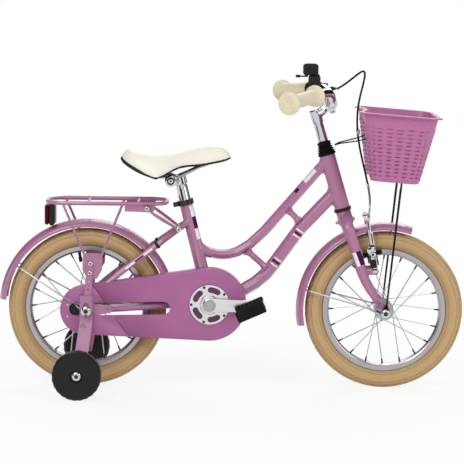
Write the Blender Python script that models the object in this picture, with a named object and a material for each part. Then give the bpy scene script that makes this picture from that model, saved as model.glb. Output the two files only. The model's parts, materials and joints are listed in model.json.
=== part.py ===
"""Kids bike with training wheels, basket, chaincase and rear rack, built as separate pieces.

Metres. +X is forward, +Y is the rider's left and +Z is up. The origin lies on the ground, under the middle
of the bike's length. Places along the bike are given from the rear axle, and at() moves them to the origin.
"""
import math

import bmesh
import bpy
from mathutils import Matrix, Vector

FIT = 0.0003                # gap between two pieces that touch
PIVOT_FIT = 0.0003          # radial gap of a bearing or a hole round its pin
FLAT_ANGLE = math.radians(0.1)    # faces that meet at less than this count as one flat face

# Wheels
WHEELBASE = 0.655
TYRE_RADIUS = 0.174
TYRE_HALF_WIDTH = 0.0235
RIM_OUTER = 0.136
RIM_INNER = 0.1215
RIM_HALF_WIDTH = 0.0128
RIM_BED = 0.1297
WHEEL_STEPS = 32
HUB_STEPS = 12
TYRE_WALL = 0.003
SPOKES = 20
SPOKE_RADIUS = 0.0010
SPOKE_CROSS = 0.0008
AXLE_Z = TYRE_RADIUS

# Mudguards
GUARD_OUTER = 0.1947
GUARD_DEPTH = 0.0147
GUARD_HALF_WIDTH = 0.027
GUARD_WALL = 0.0015
REAR_GUARD_ARC = (5.0, 175.0)
FRONT_GUARD_ARC = (72.0, 191.0)
STAY_WIRE = 0.0018
REAR_GUARD_STEPS = 20
FRONT_GUARD_STEPS = 14
REAR_STAY_STEP = 17
FRONT_STAY_STEP = 11

# Head, steerer and stem, measured along the steering axis from the foot of the head tube
HEAD_FOOT = (WHEELBASE - 0.0958, 0.3994)
HEAD_TILT = math.radians(16.65)
HEAD_LENGTH = 0.121
HEAD_RADIUS = 0.017
HEAD_BORE = 0.015
STEERER_RADIUS = 0.0125
STEERER_TOP = HEAD_LENGTH + 0.0225
QUILL_RADIUS = 0.0111
QUILL_FOOT = HEAD_LENGTH - 0.045
QUILL_TOP = 0.222
CUP_RADIUS = 0.0192
CUP_HEIGHT = 0.007
CROWN_RADIUS = 0.0165
CROWN_LENGTH = 0.0325

# Handlebar
BAR_RADIUS = 0.0111
BAR_CLAMP = (WHEELBASE - 0.126, 0.629)
GRIP_INNER = Vector((WHEELBASE - 0.1645, 0.135, 0.6525))
GRIP_OUTER = Vector((WHEELBASE - 0.227, 0.250, 0.642))
GRIP_RADIUS = 0.0155
GRIP_FLANGE = 0.0245
PERCH_RADIUS = 0.0180
PERCH_SPAN = (0.004, 0.026)
BELL_RING = (0.0275, 0.0365)
LEVER_REACH = 0.088
LEVER_PIN = 0.0028

# Frame tubes
SEAT_LEAN = math.radians(14.2)
BRACKET = (0.2695, 0.189)
SHELL_RADIUS = 0.0205
SHELL_HALF = 0.034
SEAT_TUBE_LENGTH = 0.2315
SEAT_TUBE_RADIUS = 0.0143
TOP_TUBE_RADIUS = 0.0110
DOWN_TUBE_RADIUS = 0.0143
BRIDGE_RADIUS = 0.0068
DROPOUT_INNER = 0.055
DROPOUT_WALL = 0.005
STAY_BRIDGE_RADIUS = 0.005
LUG = (0.200, 0.3505)
LUG_HALF = 0.0282

# Seat post and saddle
POST_RADIUS = 0.0127
POST_FOOT = 0.110
POST_SHOULDER = 0.262
POST_TOP = POST_SHOULDER + 0.025
NECK_RADIUS = 0.0110
PIVOT_DROP = 0.006595         # the saddle's pivot below the post's top
PIVOT_SETBACK = 0.019716      # and behind the post's axis
RAIL_RADIUS = 0.0033
RAIL_HALF_GAP = 0.0195
CROSS_BOLT_RADIUS = 0.0042
RAIL_END = Vector((-0.0546, 0.0340, 0.0330))
RAIL_NOSE = Vector((0.0804, 0.0, 0.0360))
SOCKET_HEIGHT = 0.0085
NOSE_SOCKET_HEIGHT = 0.0135
CUSHION_EDGE = 0.006
CUSHION_THICK = 0.018
PAN_THICK = 0.003

# Drive
CHAIN_LINE = -0.0415
CHAIN_SEAT = 0.0008
RING_RADIUS = 0.053
SPROCKET_RADIUS = 0.029
CHAIN_DEPTH = 0.008
CHAIN_WIDTH = 0.0076
SPINDLE_RADIUS = 0.0086
CRANK_LENGTH = 0.0889
CRANK_INNER = 0.0660
CRANK_THICK = 0.0125
SPIDER_RADIUS = 0.0438
SPIDER_WALL = 0.003
PEDAL_AXLE_RADIUS = 0.006
PEDAL_SIZE = (0.067, 0.084, 0.025)
PEDAL_TILT = math.radians(-24.0)

# Chaincase
CASE_FRONT_RADIUS = 0.0807
CASE_REAR_RADIUS = 0.0539
CASE_REAR_CENTRE = (-0.0037, 0.1735)
CASE_BACK = -0.036
CASE_WALL = 0.0015
CASE_INSIDE = -(DROPOUT_INNER + DROPOUT_WALL + FIT)
CASE_OUTSIDE = CASE_INSIDE - CASE_WALL
SLOT_RADIUS = 0.0142

# Training wheels
TRAIN_RADIUS = 0.053
TRAIN_SETBACK = 0.0125        # the training wheels behind the rear axle
TRAIN_INNER = 0.175
TRAIN_WIDTH = 0.035
BRACKET_WIDTH = 0.028
BRACKET_WALL = 0.003
TAB_Y = 0.165

# Rack
RACK_Z = 0.4085
RACK_RAIL = 0.0045
RACK_HALF_WIDTH = 0.055
RACK_REAR = -0.0875
RACK_FRONT = 0.1735
STRUT_WALL = 0.002

# Axle stack outside the rear dropout, from the dropout outward
WASHER_OUT = 0.0620
LUG_PLATE = (WASHER_OUT + FIT, WASHER_OUT + FIT + 0.0017)
STRUT_PLATE = (LUG_PLATE[1] + FIT, LUG_PLATE[1] + FIT + STRUT_WALL)
TRAIN_PLATE = (STRUT_PLATE[1] + FIT, STRUT_PLATE[1] + FIT + BRACKET_WALL)
REAR_NUT = (TRAIN_PLATE[1] + FIT, TRAIN_PLATE[1] + FIT + 0.008)
REAR_AXLE_RADIUS = 0.0048

# Front axle stack
FRONT_INNER = 0.048
FRONT_DROPOUT_WALL = 0.005
FRONT_LUG = (FRONT_INNER + FRONT_DROPOUT_WALL + FIT, FRONT_INNER + FRONT_DROPOUT_WALL + FIT + 0.002)
BASKET_EYE = (FRONT_LUG[1] + FIT, FRONT_LUG[1] + FIT + 0.0025)
FRONT_NUT = (BASKET_EYE[1] + FIT, BASKET_EYE[1] + FIT + 0.008)
FRONT_AXLE_RADIUS = 0.0045

# Front brake
BRAKE_PIVOT = Vector((WHEELBASE - 0.023, 0.040, 0.2627))
BRAKE_TILT = math.radians(9.2)
BRAKE_PIN = 0.0028
ARM_Y = 0.0375
ARM_WALL = 0.007
ARM_DEPTH = 0.010
ARM_LENGTH = 0.125
ANCHOR_DROP = 0.0056
PAD_UP = 0.0390
PAD_SIZE = (0.044, 0.0107, 0.009)
PAD_GAP = 0.0025

# Basket
BASKET_REAR = (WHEELBASE - 0.061, WHEELBASE - 0.042)
BASKET_FRONT = (WHEELBASE + 0.107, WHEELBASE + 0.0677)
BASKET_HALF = (0.118, 0.088)
BASKET_RIM_Z = (0.6165, 0.604)
BASKET_BOTTOM_Z = (0.4674, 0.461)
BASKET_WALL = 0.0025
BASKET_LIP = 0.005
BASKET_HOLLOW = 0.014
BASKET_WIRE = 0.00225
BASKET_WIRE_X = WHEELBASE + 0.03

GUARD_REACH = -GUARD_OUTER * math.cos(math.radians(REAR_GUARD_ARC[1]))
REAR_X = -(WHEELBASE + TYRE_RADIUS - GUARD_REACH) / 2

SIDE = Vector((0.0, 1.0, 0.0))
UP = Vector((0.0, 0.0, 1.0))
STEER_UP = Vector((-math.sin(HEAD_TILT), 0.0, math.cos(HEAD_TILT)))
STEER_FORE = Vector((math.cos(HEAD_TILT), 0.0, math.sin(HEAD_TILT)))
SEAT_UP = Vector((-math.sin(SEAT_LEAN), 0.0, math.cos(SEAT_LEAN)))
SEAT_BACK = Vector((-math.cos(SEAT_LEAN), 0.0, -math.sin(SEAT_LEAN)))
SADDLE_PIVOT = (Vector((BRACKET[0], 0.0, BRACKET[1])) + SEAT_UP * (POST_TOP - PIVOT_DROP)
                + SEAT_BACK * PIVOT_SETBACK)
ARM_UP = Vector((-math.sin(BRAKE_TILT), 0.0, math.cos(BRAKE_TILT)))
ARM_FORE = Vector((math.cos(BRAKE_TILT), 0.0, math.sin(BRAKE_TILT)))
BAR_IN = (GRIP_INNER - GRIP_OUTER).normalized()

# Finishes: colour, roughness, metallic
PINK_PAINT = ((0.43, 0.17, 0.29), 0.35, 0.1)
PINK_PLASTIC = ((0.40, 0.13, 0.32), 0.4, 0.0)
CREAM_RUBBER = ((0.84, 0.78, 0.60), 0.6, 0.0)
CREAM_VINYL = ((0.85, 0.81, 0.67), 0.5, 0.0)
TAN_RUBBER = ((0.56, 0.37, 0.17), 0.8, 0.0)
BLACK_PLASTIC = ((0.02, 0.02, 0.02), 0.5, 0.0)
CHROME = ((0.75, 0.75, 0.77), 0.1, 1.0)
ALUMINIUM = ((0.62, 0.60, 0.65), 0.35, 1.0)
ZINC = ((0.55, 0.55, 0.56), 0.35, 1.0)
RED_LENS = ((0.45, 0.01, 0.02), 0.15, 0.0)


def at(x, y, z):
    """A point given from the rear axle, the middle plane and the ground."""
    return Vector((REAR_X + x, y, z))


def ahead(x, y, z):
    """A point given from the front axle, the middle plane and the ground."""
    return at(WHEELBASE + x, y, z)


def saddle_at(x, y, z):
    """A point given from the saddle's pivot."""
    return at(SADDLE_PIVOT.x + x, y, SADDLE_PIVOT.z + z)


def steer_at(up, fore=0.0, y=0.0):
    """A point on or beside the steering axis, up from the foot of the head tube."""
    return at(HEAD_FOOT[0], y, HEAD_FOOT[1]) + STEER_UP * up + STEER_FORE * fore


def seat_at(up, back=0.0, y=0.0):
    """A point on or beside the seat tube's axis, up from the bottom bracket."""
    return at(BRACKET[0], y, BRACKET[1]) + SEAT_UP * up + SEAT_BACK * back


def round_axle(axle_x, degrees, radius, y):
    """A point round a wheel's axle, counted from forward towards up."""
    turn = math.radians(degrees)
    return at(axle_x + radius * math.cos(turn), y, AXLE_Z + radius * math.sin(turn))


def mirrored(points):
    """The same points on the other side of the bike."""
    return [Vector((p.x, -p.y, p.z)) for p in points]


def mesh_from(bm):
    """Welds a bmesh, turns its faces out and hands it over as a mesh."""
    bmesh.ops.remove_doubles(bm, verts=bm.verts, dist=1e-6)
    bmesh.ops.dissolve_degenerate(bm, edges=bm.edges, dist=1e-6)
    bmesh.ops.recalc_face_normals(bm, faces=bm.faces)
    mesh = bpy.data.meshes.new("solid")
    bm.to_mesh(mesh)
    bm.free()
    return mesh


def turned(profile, steps, centre, axis=SIDE, ring=True):
    """A turned solid: profile holds (radius, height along the axis). An open profile ends on the axis."""
    bm = bmesh.new()
    axis = Vector(axis).normalized()
    side = axis.cross(Vector((1.0, 0.0, 0.0)))
    if side.length < 0.5:
        side = axis.cross(SIDE)
    side.normalize()
    verts = [bm.verts.new(centre + side * radius + axis * height) for radius, height in profile]
    ends = verts[1:] + verts[:1] if ring else verts[1:]
    edges = [bm.edges.new(pair) for pair in zip(verts, ends)]
    bmesh.ops.spin(bm, geom=verts + edges, cent=centre, axis=axis, angle=math.tau, steps=steps,
                   use_merge=True)
    return mesh_from(bm)


def rod(start, end, radius, steps=12):
    """A plain round bar between two points."""
    length = (end - start).length
    return turned([(0, 0), (radius, 0), (radius, length), (0, length)], steps, start, end - start, ring=False)


def tube(points, radius, resolution=2, radii=None, cyclic=False):
    """A bent round bar along a line of points. radii scales the radius at each point."""
    curve = bpy.data.curves.new("path", 'CURVE')
    curve.dimensions = '3D'
    curve.bevel_depth = radius
    curve.bevel_resolution = resolution
    curve.use_fill_caps = not cyclic
    spline = curve.splines.new('POLY')
    spline.points.add(len(points) - 1)
    spline.use_cyclic_u = cyclic
    for index, point in enumerate(points):
        spline.points[index].co = (*point, 1.0)
        spline.points[index].radius = radii[index] if radii else 1.0
    holder = bpy.data.objects.new("path", curve)
    bpy.context.scene.collection.objects.link(holder)
    depsgraph = bpy.context.evaluated_depsgraph_get()
    mesh = bpy.data.meshes.new_from_object(holder.evaluated_get(depsgraph))
    bpy.data.objects.remove(holder)
    bm = bmesh.new()
    bm.from_mesh(mesh)
    return mesh_from(bm)


def smooth(points, spacing):
    """Points about one spacing apart on a smooth curve through the given points."""
    line = [Vector(p) for p in points]
    line = [line[0] * 2 - line[1], *line, line[-1] * 2 - line[-2]]
    result = []
    for a, b, c, d in zip(line, line[1:], line[2:], line[3:]):
        count = max(1, round((c - b).length / spacing))
        for index in range(count):
            t = index / count
            result.append(0.5 * (2 * b + (c - a) * t + (2 * a - 5 * b + 4 * c - d) * t * t
                                 + (3 * b - a - 3 * c + d) * t ** 3))
    return [*result, line[-2]]


def circle_points(x, z, radius, start, end, count):
    """Points (x, z) on an arc, in degrees counted from forward towards up."""
    turns = [math.radians(start + (end - start) * i / count) for i in range(count + 1)]
    return [(x + radius * math.cos(turn), z + radius * math.sin(turn)) for turn in turns]


def bore(pin_radius, steps):
    """The corner radius of a many-sided hole that clears a round pin."""
    return (pin_radius + PIVOT_FIT) / math.cos(math.pi / steps)


def ring_points(x, z, radius, count):
    """The outline (x, z) of a full circle."""
    return circle_points(x, z, radius, 0, 360 * (count - 1) / count, count - 1)


def pin_hole(x, z, pin_radius, count=10):
    """The outline (x, z) of a hole round a pin."""
    return ring_points(x, z, bore(pin_radius, count), count)


def hull_of_two(first, first_radius, second, second_radius, count=5):
    """The outline (x, z) of a belt round two circles, the second one ahead of the first."""
    gap = math.dist(first, second)
    aim = math.degrees(math.atan2(second[1] - first[1], second[0] - first[0]))
    lean = math.degrees(math.acos((first_radius - second_radius) / gap))
    ahead = circle_points(*second, second_radius, aim - lean, aim + lean, count)
    behind = circle_points(*first, first_radius, aim + lean, aim + 360 - lean, count)
    return ahead + behind


def plate(outline, y_from, y_to, holes=()):
    """A flat plate across the bike: outlines hold (x, z) from the rear axle, and may be bored."""
    bm = bmesh.new()
    edges = []
    for loop in (outline, *holes):
        verts = [bm.verts.new(at(x, y_from, z)) for x, z in loop]
        edges += [bm.edges.new(pair) for pair in zip(verts, verts[1:] + verts[:1])]
    bmesh.ops.triangle_fill(bm, use_beauty=True, use_dissolve=False, edges=edges)
    walls = bmesh.ops.extrude_face_region(bm, geom=bm.faces[:])
    moved = [item for item in walls["geom"] if isinstance(item, bmesh.types.BMVert)]
    bmesh.ops.translate(bm, verts=moved, vec=(0.0, y_to - y_from, 0.0))
    return mesh_from(bm)


def block(centre, size, axes=None, bevel=0.0):
    """A box with its own axes, given as three unit vectors, and bevelled edges."""
    bm = bmesh.new()
    bmesh.ops.create_cube(bm, size=1.0)
    bmesh.ops.scale(bm, verts=bm.verts, vec=size)
    if bevel:
        bmesh.ops.bevel(bm, geom=bm.edges[:], offset=bevel, segments=1, profile=0.5, affect='EDGES',
                        material=-1)
    turn = Matrix(axes).transposed().to_4x4() if axes else Matrix.Identity(4)
    bmesh.ops.transform(bm, matrix=Matrix.Translation(centre) @ turn, verts=bm.verts)
    return mesh_from(bm)


def lofted(loops):
    """A closed solid skinned over a row of point loops with equal counts, with a face at both ends."""
    bm = bmesh.new()
    rings = [[bm.verts.new(point) for point in loop] for loop in loops]
    for ring, following in zip(rings, rings[1:]):
        for index, vert in enumerate(ring):
            bm.faces.new((ring[index - 1], vert, following[index], following[index - 1]))
    bm.faces.new(rings[0])
    bm.faces.new(rings[-1])
    return mesh_from(bm)


def worked(mesh, tools, operation):
    """Adds, cuts or keeps the tools' space, one after another."""
    body = bpy.data.objects.new("body", mesh)
    helpers = [bpy.data.objects.new("tool", tool) for tool in tools]
    for item in (body, *helpers):
        bpy.context.scene.collection.objects.link(item)
    for helper in helpers:
        step = body.modifiers.new("step", 'BOOLEAN')
        step.operation = operation
        step.use_self = True
        step.object = helper
    depsgraph = bpy.context.evaluated_depsgraph_get()
    result = bpy.data.meshes.new_from_object(body.evaluated_get(depsgraph))
    for item in (body, *helpers):
        bpy.data.objects.remove(item)
    bm = bmesh.new()
    bm.from_mesh(result)
    bmesh.ops.dissolve_limit(bm, angle_limit=FLAT_ANGLE, verts=bm.verts, edges=bm.edges)
    return mesh_from(bm)


def fused(first, *others):
    """One solid from several that run into each other."""
    return worked(first, others, 'UNION')


def cut(mesh, *tools):
    """A solid less its tools."""
    return worked(mesh, tools, 'DIFFERENCE')


def piece(name, mesh, finish, pivot=None):
    """Makes the named object, dresses it and puts its origin on its joint."""
    colour, roughness, metallic = finish
    material = bpy.data.materials.new(name)
    material.use_nodes = True
    shader = material.node_tree.nodes["Principled BSDF"]
    shader.inputs["Base Color"].default_value = (*colour, 1.0)
    shader.inputs["Roughness"].default_value = roughness
    shader.inputs["Metallic"].default_value = metallic
    mesh.name = name
    mesh.materials.clear()
    mesh.materials.append(material)
    mesh.shade_smooth()
    mesh.set_sharp_from_angle(angle=math.radians(35))
    obj = bpy.data.objects.new(name, mesh)
    if pivot:
        mesh.transform(Matrix.Translation(-pivot))
        obj.location = pivot
    bpy.context.scene.collection.objects.link(obj)
    return obj


def sided(name, build, *args):
    """Builds a right and a left piece. build takes the side, -1 for right and 1 for left."""
    for word, side in (("right", -1), ("left", 1)):
        build(f"{name}_{word}", side, *args)


def tyre_profile():
    """Tyre casing from bead to bead over the tread, then back along its inside, as (radius, y)."""
    bead = RIM_HALF_WIDTH - 0.0032
    half = [(RIM_BED + FIT, bead), (RIM_OUTER + 0.0025, bead + 0.0005), (0.1500, TYRE_HALF_WIDTH),
            (0.1665, 0.0170)]
    inner = [(RIM_BED + FIT, bead - TYRE_WALL), (RIM_OUTER + 0.0035, bead - TYRE_WALL + 0.0010),
             (0.1505, TYRE_HALF_WIDTH - TYRE_WALL)]
    outside = half + [(TYRE_RADIUS, 0.0)] + [(r, -y) for r, y in reversed(half)]
    inside = inner + [(TYRE_RADIUS - TYRE_WALL - 0.001, 0.0)] + [(r, -y) for r, y in reversed(inner)]
    return outside + inside[::-1]


def rim_profile():
    """Box rim with brake tracks and a bed for the tyre, as (radius, y)."""
    half = [(RIM_BED, RIM_HALF_WIDTH - 0.0028), (RIM_OUTER, RIM_HALF_WIDTH - 0.0025),
            (RIM_OUTER, RIM_HALF_WIDTH),
            (RIM_INNER, RIM_HALF_WIDTH - 0.002)]
    return half + [(r, -y) for r, y in reversed(half)]


def spokes(centre, flange_radius, flange_y):
    """Crossed spokes from both flanges to the rim."""
    result = []
    pitch = math.tau / SPOKES
    reach = RIM_INNER * math.cos(math.pi / WHEEL_STEPS) - FIT
    for index in range(SPOKES):
        side = 1 if index % 2 else -1
        lead = 1 if index % 4 < 2 else -1
        rim_turn = pitch * index
        hub_turn = rim_turn + lead * pitch * 4
        foot_y = side * flange_y + lead * SPOKE_CROSS
        start = Vector((math.cos(hub_turn) * flange_radius, foot_y, math.sin(hub_turn) * flange_radius))
        end = Vector((math.cos(rim_turn) * reach, side * 0.0015, math.sin(rim_turn) * reach))
        result.append(rod(centre + start, centre + end, SPOKE_RADIUS, 4))
    return result


def wheel(name, axle_x, hub_profile, flange_radius, flange_y):
    """Tyre, rim and hub with spokes of one wheel."""
    centre = at(axle_x, 0.0, AXLE_Z)
    piece(f"{name}_tyre", turned(tyre_profile(), WHEEL_STEPS, centre), TAN_RUBBER, centre)
    piece(f"{name}_rim", turned(rim_profile(), WHEEL_STEPS, centre), ALUMINIUM, centre)
    hub = turned(hub_profile, HUB_STEPS, centre)
    hub = fused(hub, *spokes(centre, flange_radius, flange_y))
    piece(f"{name}_hub", hub, ZINC, centre)


def front_wheel():
    """Front wheel and its plain hub."""
    hole = bore(FRONT_AXLE_RADIUS, HUB_STEPS)
    flange = 0.0206
    half = [(0.0130, 0.0235), (flange, 0.0240), (flange, 0.0280), (0.0120, 0.0285), (0.0100, 0.0440),
            (hole, 0.0440)]
    profile = half + [(r, -y) for r, y in reversed(half)]
    wheel("front", WHEELBASE, profile, flange - 0.003, 0.026)


def rear_wheel():
    """Rear wheel and its wide coaster hub."""
    hole = bore(REAR_AXLE_RADIUS, HUB_STEPS)
    flange = 0.0300
    profile = [(0.0225, 0.0265), (flange, 0.0270), (flange, 0.0315), (0.0190, 0.0340), (0.0180, 0.0400),
               (hole, 0.0400), (hole, -0.0320), (0.0225, -0.0320), (flange, -0.0315), (flange, -0.0270),
               (0.0225, -0.0265)]
    wheel("rear", 0.0, profile, flange - 0.004, 0.02925)


def hex_nut(centre, y_from, y_to, radius):
    """A six-sided nut on an axle, with a round washer face."""
    return turned([(0, y_from), (radius, y_from), (radius, y_to), (0, y_to)], 6, centre, ring=False)


def rear_axle():
    """Rear axle with locknuts, washers and wheel nuts."""
    centre = at(0.0, 0.0, AXLE_Z)
    end = REAR_NUT[1] + 0.0035
    r = REAR_AXLE_RADIUS
    dropout = DROPOUT_INNER + DROPOUT_WALL
    half = [(r, end), (r, REAR_NUT[0]), (r, dropout + FIT), (0.0100, dropout + FIT), (0.0100, WASHER_OUT),
            (r, WASHER_OUT)]
    profile = [(0, -end)]
    profile += [(radius, -y) for radius, y in (half[0], half[5], half[4], half[3], half[2])]
    profile += [(r, -DROPOUT_INNER + FIT), (0.0085, -DROPOUT_INNER + FIT), (0.0085, -0.0505), (r, -0.0505)]
    profile += [(r, DROPOUT_INNER - 0.0012), (0.0085, DROPOUT_INNER - 0.0012), (0.0085, DROPOUT_INNER - FIT)]
    profile += [(r, DROPOUT_INNER - FIT), (r, dropout + FIT)]
    profile += [half[3], half[4], half[5], half[0], (0, end)]
    axle = turned(profile, 10, centre, ring=False)
    nuts = [hex_nut(centre, *sorted((side * REAR_NUT[0], side * REAR_NUT[1])), 0.0095) for side in (-1, 1)]
    piece("rear_axle", fused(axle, *nuts), ZINC)


def front_axle():
    """Front axle with locknuts and wheel nuts."""
    centre = at(WHEELBASE, 0.0, AXLE_Z)
    end = FRONT_NUT[1] + 0.0035
    r = FRONT_AXLE_RADIUS
    half = [(r, 0.0443), (0.0082, 0.0443), (0.0082, FRONT_INNER - FIT), (r, FRONT_INNER - FIT), (r, end)]
    profile = [(0, -end)] + [(radius, -y) for radius, y in reversed(half)] + half + [(0, end)]
    axle = turned(profile, 10, centre, ring=False)
    nuts = [hex_nut(centre, *sorted((side * FRONT_NUT[0], side * FRONT_NUT[1])), 0.0088) for side in (-1, 1)]
    piece("front_axle", fused(axle, *nuts), ZINC)


def guard_section(depth, half, count=4):
    """Arched section of a mudguard, from right to left, as (radius, y)."""
    edge = GUARD_OUTER - GUARD_DEPTH
    turns = [math.pi * (i / count - 0.5) for i in range(count + 1)]
    return [(edge + depth * math.cos(turn), half * math.sin(turn)) for turn in turns]


def guard_mesh(axle_x, arc, steps):
    """A mudguard: an arched channel swept round the axle."""
    centre = at(axle_x, 0.0, AXLE_Z)
    outer = guard_section(GUARD_DEPTH, GUARD_HALF_WIDTH)
    inner = guard_section(GUARD_DEPTH - GUARD_WALL, GUARD_HALF_WIDTH - GUARD_WALL)
    loops = []
    for step in range(steps + 1):
        turn = math.radians(arc[0] + (arc[1] - arc[0]) * step / steps)
        out = Vector((math.cos(turn), 0.0, math.sin(turn)))
        loops.append([centre + out * r + SIDE * y for r, y in outer + inner[::-1]])
    return lofted(loops)


def guard_stay(name, axle_x, degrees, plate_span, lug_reach, straight_reach, finish):
    """A wire stay: a flat eye on the axle each side, and one wire that crosses inside the mudguard."""
    edge = GUARD_OUTER - GUARD_DEPTH
    clear = GUARD_WALL + STAY_WIRE + 0.0009
    y_wire = plate_span[0] + STAY_WIRE
    below = edge - STAY_WIRE - FIT - 0.0005
    crossing = guard_section(GUARD_DEPTH - clear, GUARD_HALF_WIDTH - clear)
    outside = [(lug_reach - 0.004, y_wire), (straight_reach, y_wire),
               (below - 0.010, GUARD_HALF_WIDTH + 0.006),
               (below, GUARD_HALF_WIDTH + 0.0005), (below, GUARD_HALF_WIDTH - GUARD_WALL - 0.0005)]
    wire = [(r, -y) for r, y in outside] + crossing + outside[::-1]
    mesh = tube([round_axle(axle_x, degrees, r, y) for r, y in wire], STAY_WIRE, 1)
    tip = round_axle(axle_x, degrees, lug_reach, 0.0) - at(0.0, 0.0, 0.0)
    axle = (axle_x, AXLE_Z)
    radius = FRONT_AXLE_RADIUS if axle_x else REAR_AXLE_RADIUS
    hole = pin_hole(*axle, radius)
    lugs = []
    for side in (-1, 1):
        outline = hull_of_two(axle, 0.0085, (tip.x, tip.z), 0.0035, 4)
        lugs.append(plate(outline, side * plate_span[0], side * plate_span[1], [hole]))
    piece(name, fused(mesh, *lugs), finish)


def mudguards():
    """Both mudguards and their stays."""
    piece("rear_guard", guard_mesh(0.0, REAR_GUARD_ARC, REAR_GUARD_STEPS), PINK_PAINT)
    guard = guard_mesh(WHEELBASE, FRONT_GUARD_ARC, FRONT_GUARD_STEPS)
    crown_foot = steer_at(-CUP_HEIGHT - FIT - CROWN_LENGTH)
    length = 0.0129
    tab = block(crown_foot - STEER_UP * (FIT + length / 2), (0.014, 0.016, length),
                (STEER_FORE, SIDE, STEER_UP))
    piece("front_guard", fused(guard, tab), PINK_PAINT)
    rear_turn = stay_angle(REAR_GUARD_ARC, REAR_GUARD_STEPS, REAR_STAY_STEP)
    front_turn = stay_angle(FRONT_GUARD_ARC, FRONT_GUARD_STEPS, FRONT_STAY_STEP)
    guard_stay("rear_guard_stay", 0.0, rear_turn, LUG_PLATE, 0.024, CASE_REAR_RADIUS + 0.010, ZINC)
    guard_stay("front_guard_stay", WHEELBASE, front_turn, FRONT_LUG, 0.022, 0.032, ZINC)


def stay_angle(arc, steps, step):
    """The direction of a mudguard's stay, on one of the guard's own section planes."""
    return arc[0] + (arc[1] - arc[0]) * step / steps


def top_tube_path():
    """The top tube's centre line: a dip by the seat tube, then a straight climb to the head."""
    run = [(0.2405, 0.3090), (0.2550, 0.3025), (0.2680, 0.2975), (0.2850, 0.2935), (0.3000, 0.2925),
           (0.3150, 0.2945), (0.3310, 0.2995), (0.3570, 0.3160), (0.3880, 0.3450)]
    front = [(-0.2180, 0.4020), (-0.1545, 0.4765), (-0.1310, 0.5035)]
    return [at(x, 0.0, z) for x, z in run] + [ahead(x, 0.0, z) for x, z in front]


def down_tube_path():
    """The down tube's centre line, curved in under the bridge and on to the bottom bracket."""
    front = [(-0.1050, 0.4400), (-0.1205, 0.4243), (-0.1896, 0.3500)]
    run = [(0.4097, 0.2720), (0.3925, 0.2500), (0.3700, 0.2305), (0.3430, 0.2140), (0.3050, 0.1990), (0.2700, 0.1900)]
    return [ahead(x, 0.0, z) for x, z in front] + [at(x, 0.0, z) for x, z in run]


def chainstay_path(side):
    """A chainstay's centre line, from the bottom bracket to the dropout."""
    run = [(0.2620, 0.0180, 0.1885), (0.2140, 0.0293, 0.1857), (0.1850, 0.0365, 0.1842),
           (0.1500, 0.0430, 0.1820),
           (0.1000, 0.0485, 0.1790), (0.0450, 0.0520, 0.1755)]
    return [at(x, side * y, z) for x, y, z in run]


def seatstay_path(side):
    """A seatstay's centre line, from the dropout to the seat tube."""
    run = [(0.0140, 0.0526, 0.2060), (0.0410, 0.0526, 0.2290), (0.0720, 0.0475, 0.2545),
           (0.1150, 0.0410, 0.2875),
           (0.1500, 0.0345, 0.3135), (0.2000, 0.0175, 0.3505), (0.2220, 0.0080, 0.3660)]
    return [at(x, side * y, z) for x, y, z in run]


def dropout(side):
    """A rear dropout plate that joins the two stays at the axle."""
    axle = (0.0, AXLE_Z)
    hole = pin_hole(*axle, REAR_AXLE_RADIUS)
    low = hull_of_two(axle, 0.0145, (0.050, 0.1758), 0.0080, 6)
    high = hull_of_two(axle, 0.0120, (0.0165, 0.2070), 0.0075, 6)
    span = (side * DROPOUT_INNER, side * (DROPOUT_INNER + DROPOUT_WALL))
    return plate(low, *span, [hole]), plate(high, *span, [hole])


def frame():
    """The welded frame."""
    head = rod(steer_at(0.0), steer_at(HEAD_LENGTH), HEAD_RADIUS, 16)
    top = tube(top_tube_path(), TOP_TUBE_RADIUS)
    down = tube(down_tube_path(), DOWN_TUBE_RADIUS)
    seat = rod(seat_at(0.0), seat_at(SEAT_TUBE_LENGTH), SEAT_TUBE_RADIUS, 16)
    shell = rod(at(BRACKET[0], -SHELL_HALF, BRACKET[1]), at(BRACKET[0], SHELL_HALF, BRACKET[1]),
                SHELL_RADIUS, 16)
    lower = rod(at(0.345, 0.0, 0.307), at(0.401, 0.0, 0.2575), BRIDGE_RADIUS, 8)
    upper = rod(ahead(-0.221, 0.0, 0.399), ahead(-0.183, 0.0, 0.3615), BRIDGE_RADIUS, 8)
    parts = [top, down, seat, shell, lower, upper]
    for side in (-1, 1):
        chain = chainstay_path(side)
        parts.append(tube(chain, 0.0075, 2, [1.15, 1.12, 1.08, 1.05, 1.0, 1.0]))
        parts.append(tube(seatstay_path(side), 0.0068, 2))
        parts += dropout(side)
    reach = GUARD_OUTER + FIT + STAY_BRIDGE_RADIUS
    bridge_turn = 42.6
    for degrees, half in ((bridge_turn, 0.0340), (3.0, 0.0360)):
        parts.append(rod(round_axle(0.0, degrees, reach, -half), round_axle(0.0, degrees, reach, half),
                         STAY_BRIDGE_RADIUS, 8))
    parts.append(rod(at(LUG[0], -LUG_HALF, LUG[1]), at(LUG[0], LUG_HALF, LUG[1]), 0.0065, 8))
    boss = at(0.196, -0.0400, 0.1848)
    parts.append(rod(boss, at(0.196, CASE_INSIDE + FIT, 0.1848), 0.0050, 8))
    body = fused(head, *parts)
    head_bore = rod(steer_at(-0.02), steer_at(HEAD_LENGTH + 0.02), HEAD_BORE, 16)
    seat_bore = rod(seat_at(0.080), seat_at(SEAT_TUBE_LENGTH + 0.02), POST_RADIUS + PIVOT_FIT, 16)
    far = SHELL_HALF + 0.01
    shell_bore = rod(at(BRACKET[0], -far, BRACKET[1]), at(BRACKET[0], far, BRACKET[1]),
                     bore(SPINDLE_RADIUS, 12), 12)
    piece("frame", cut(body, head_bore, seat_bore, shell_bore), PINK_PAINT)


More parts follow.
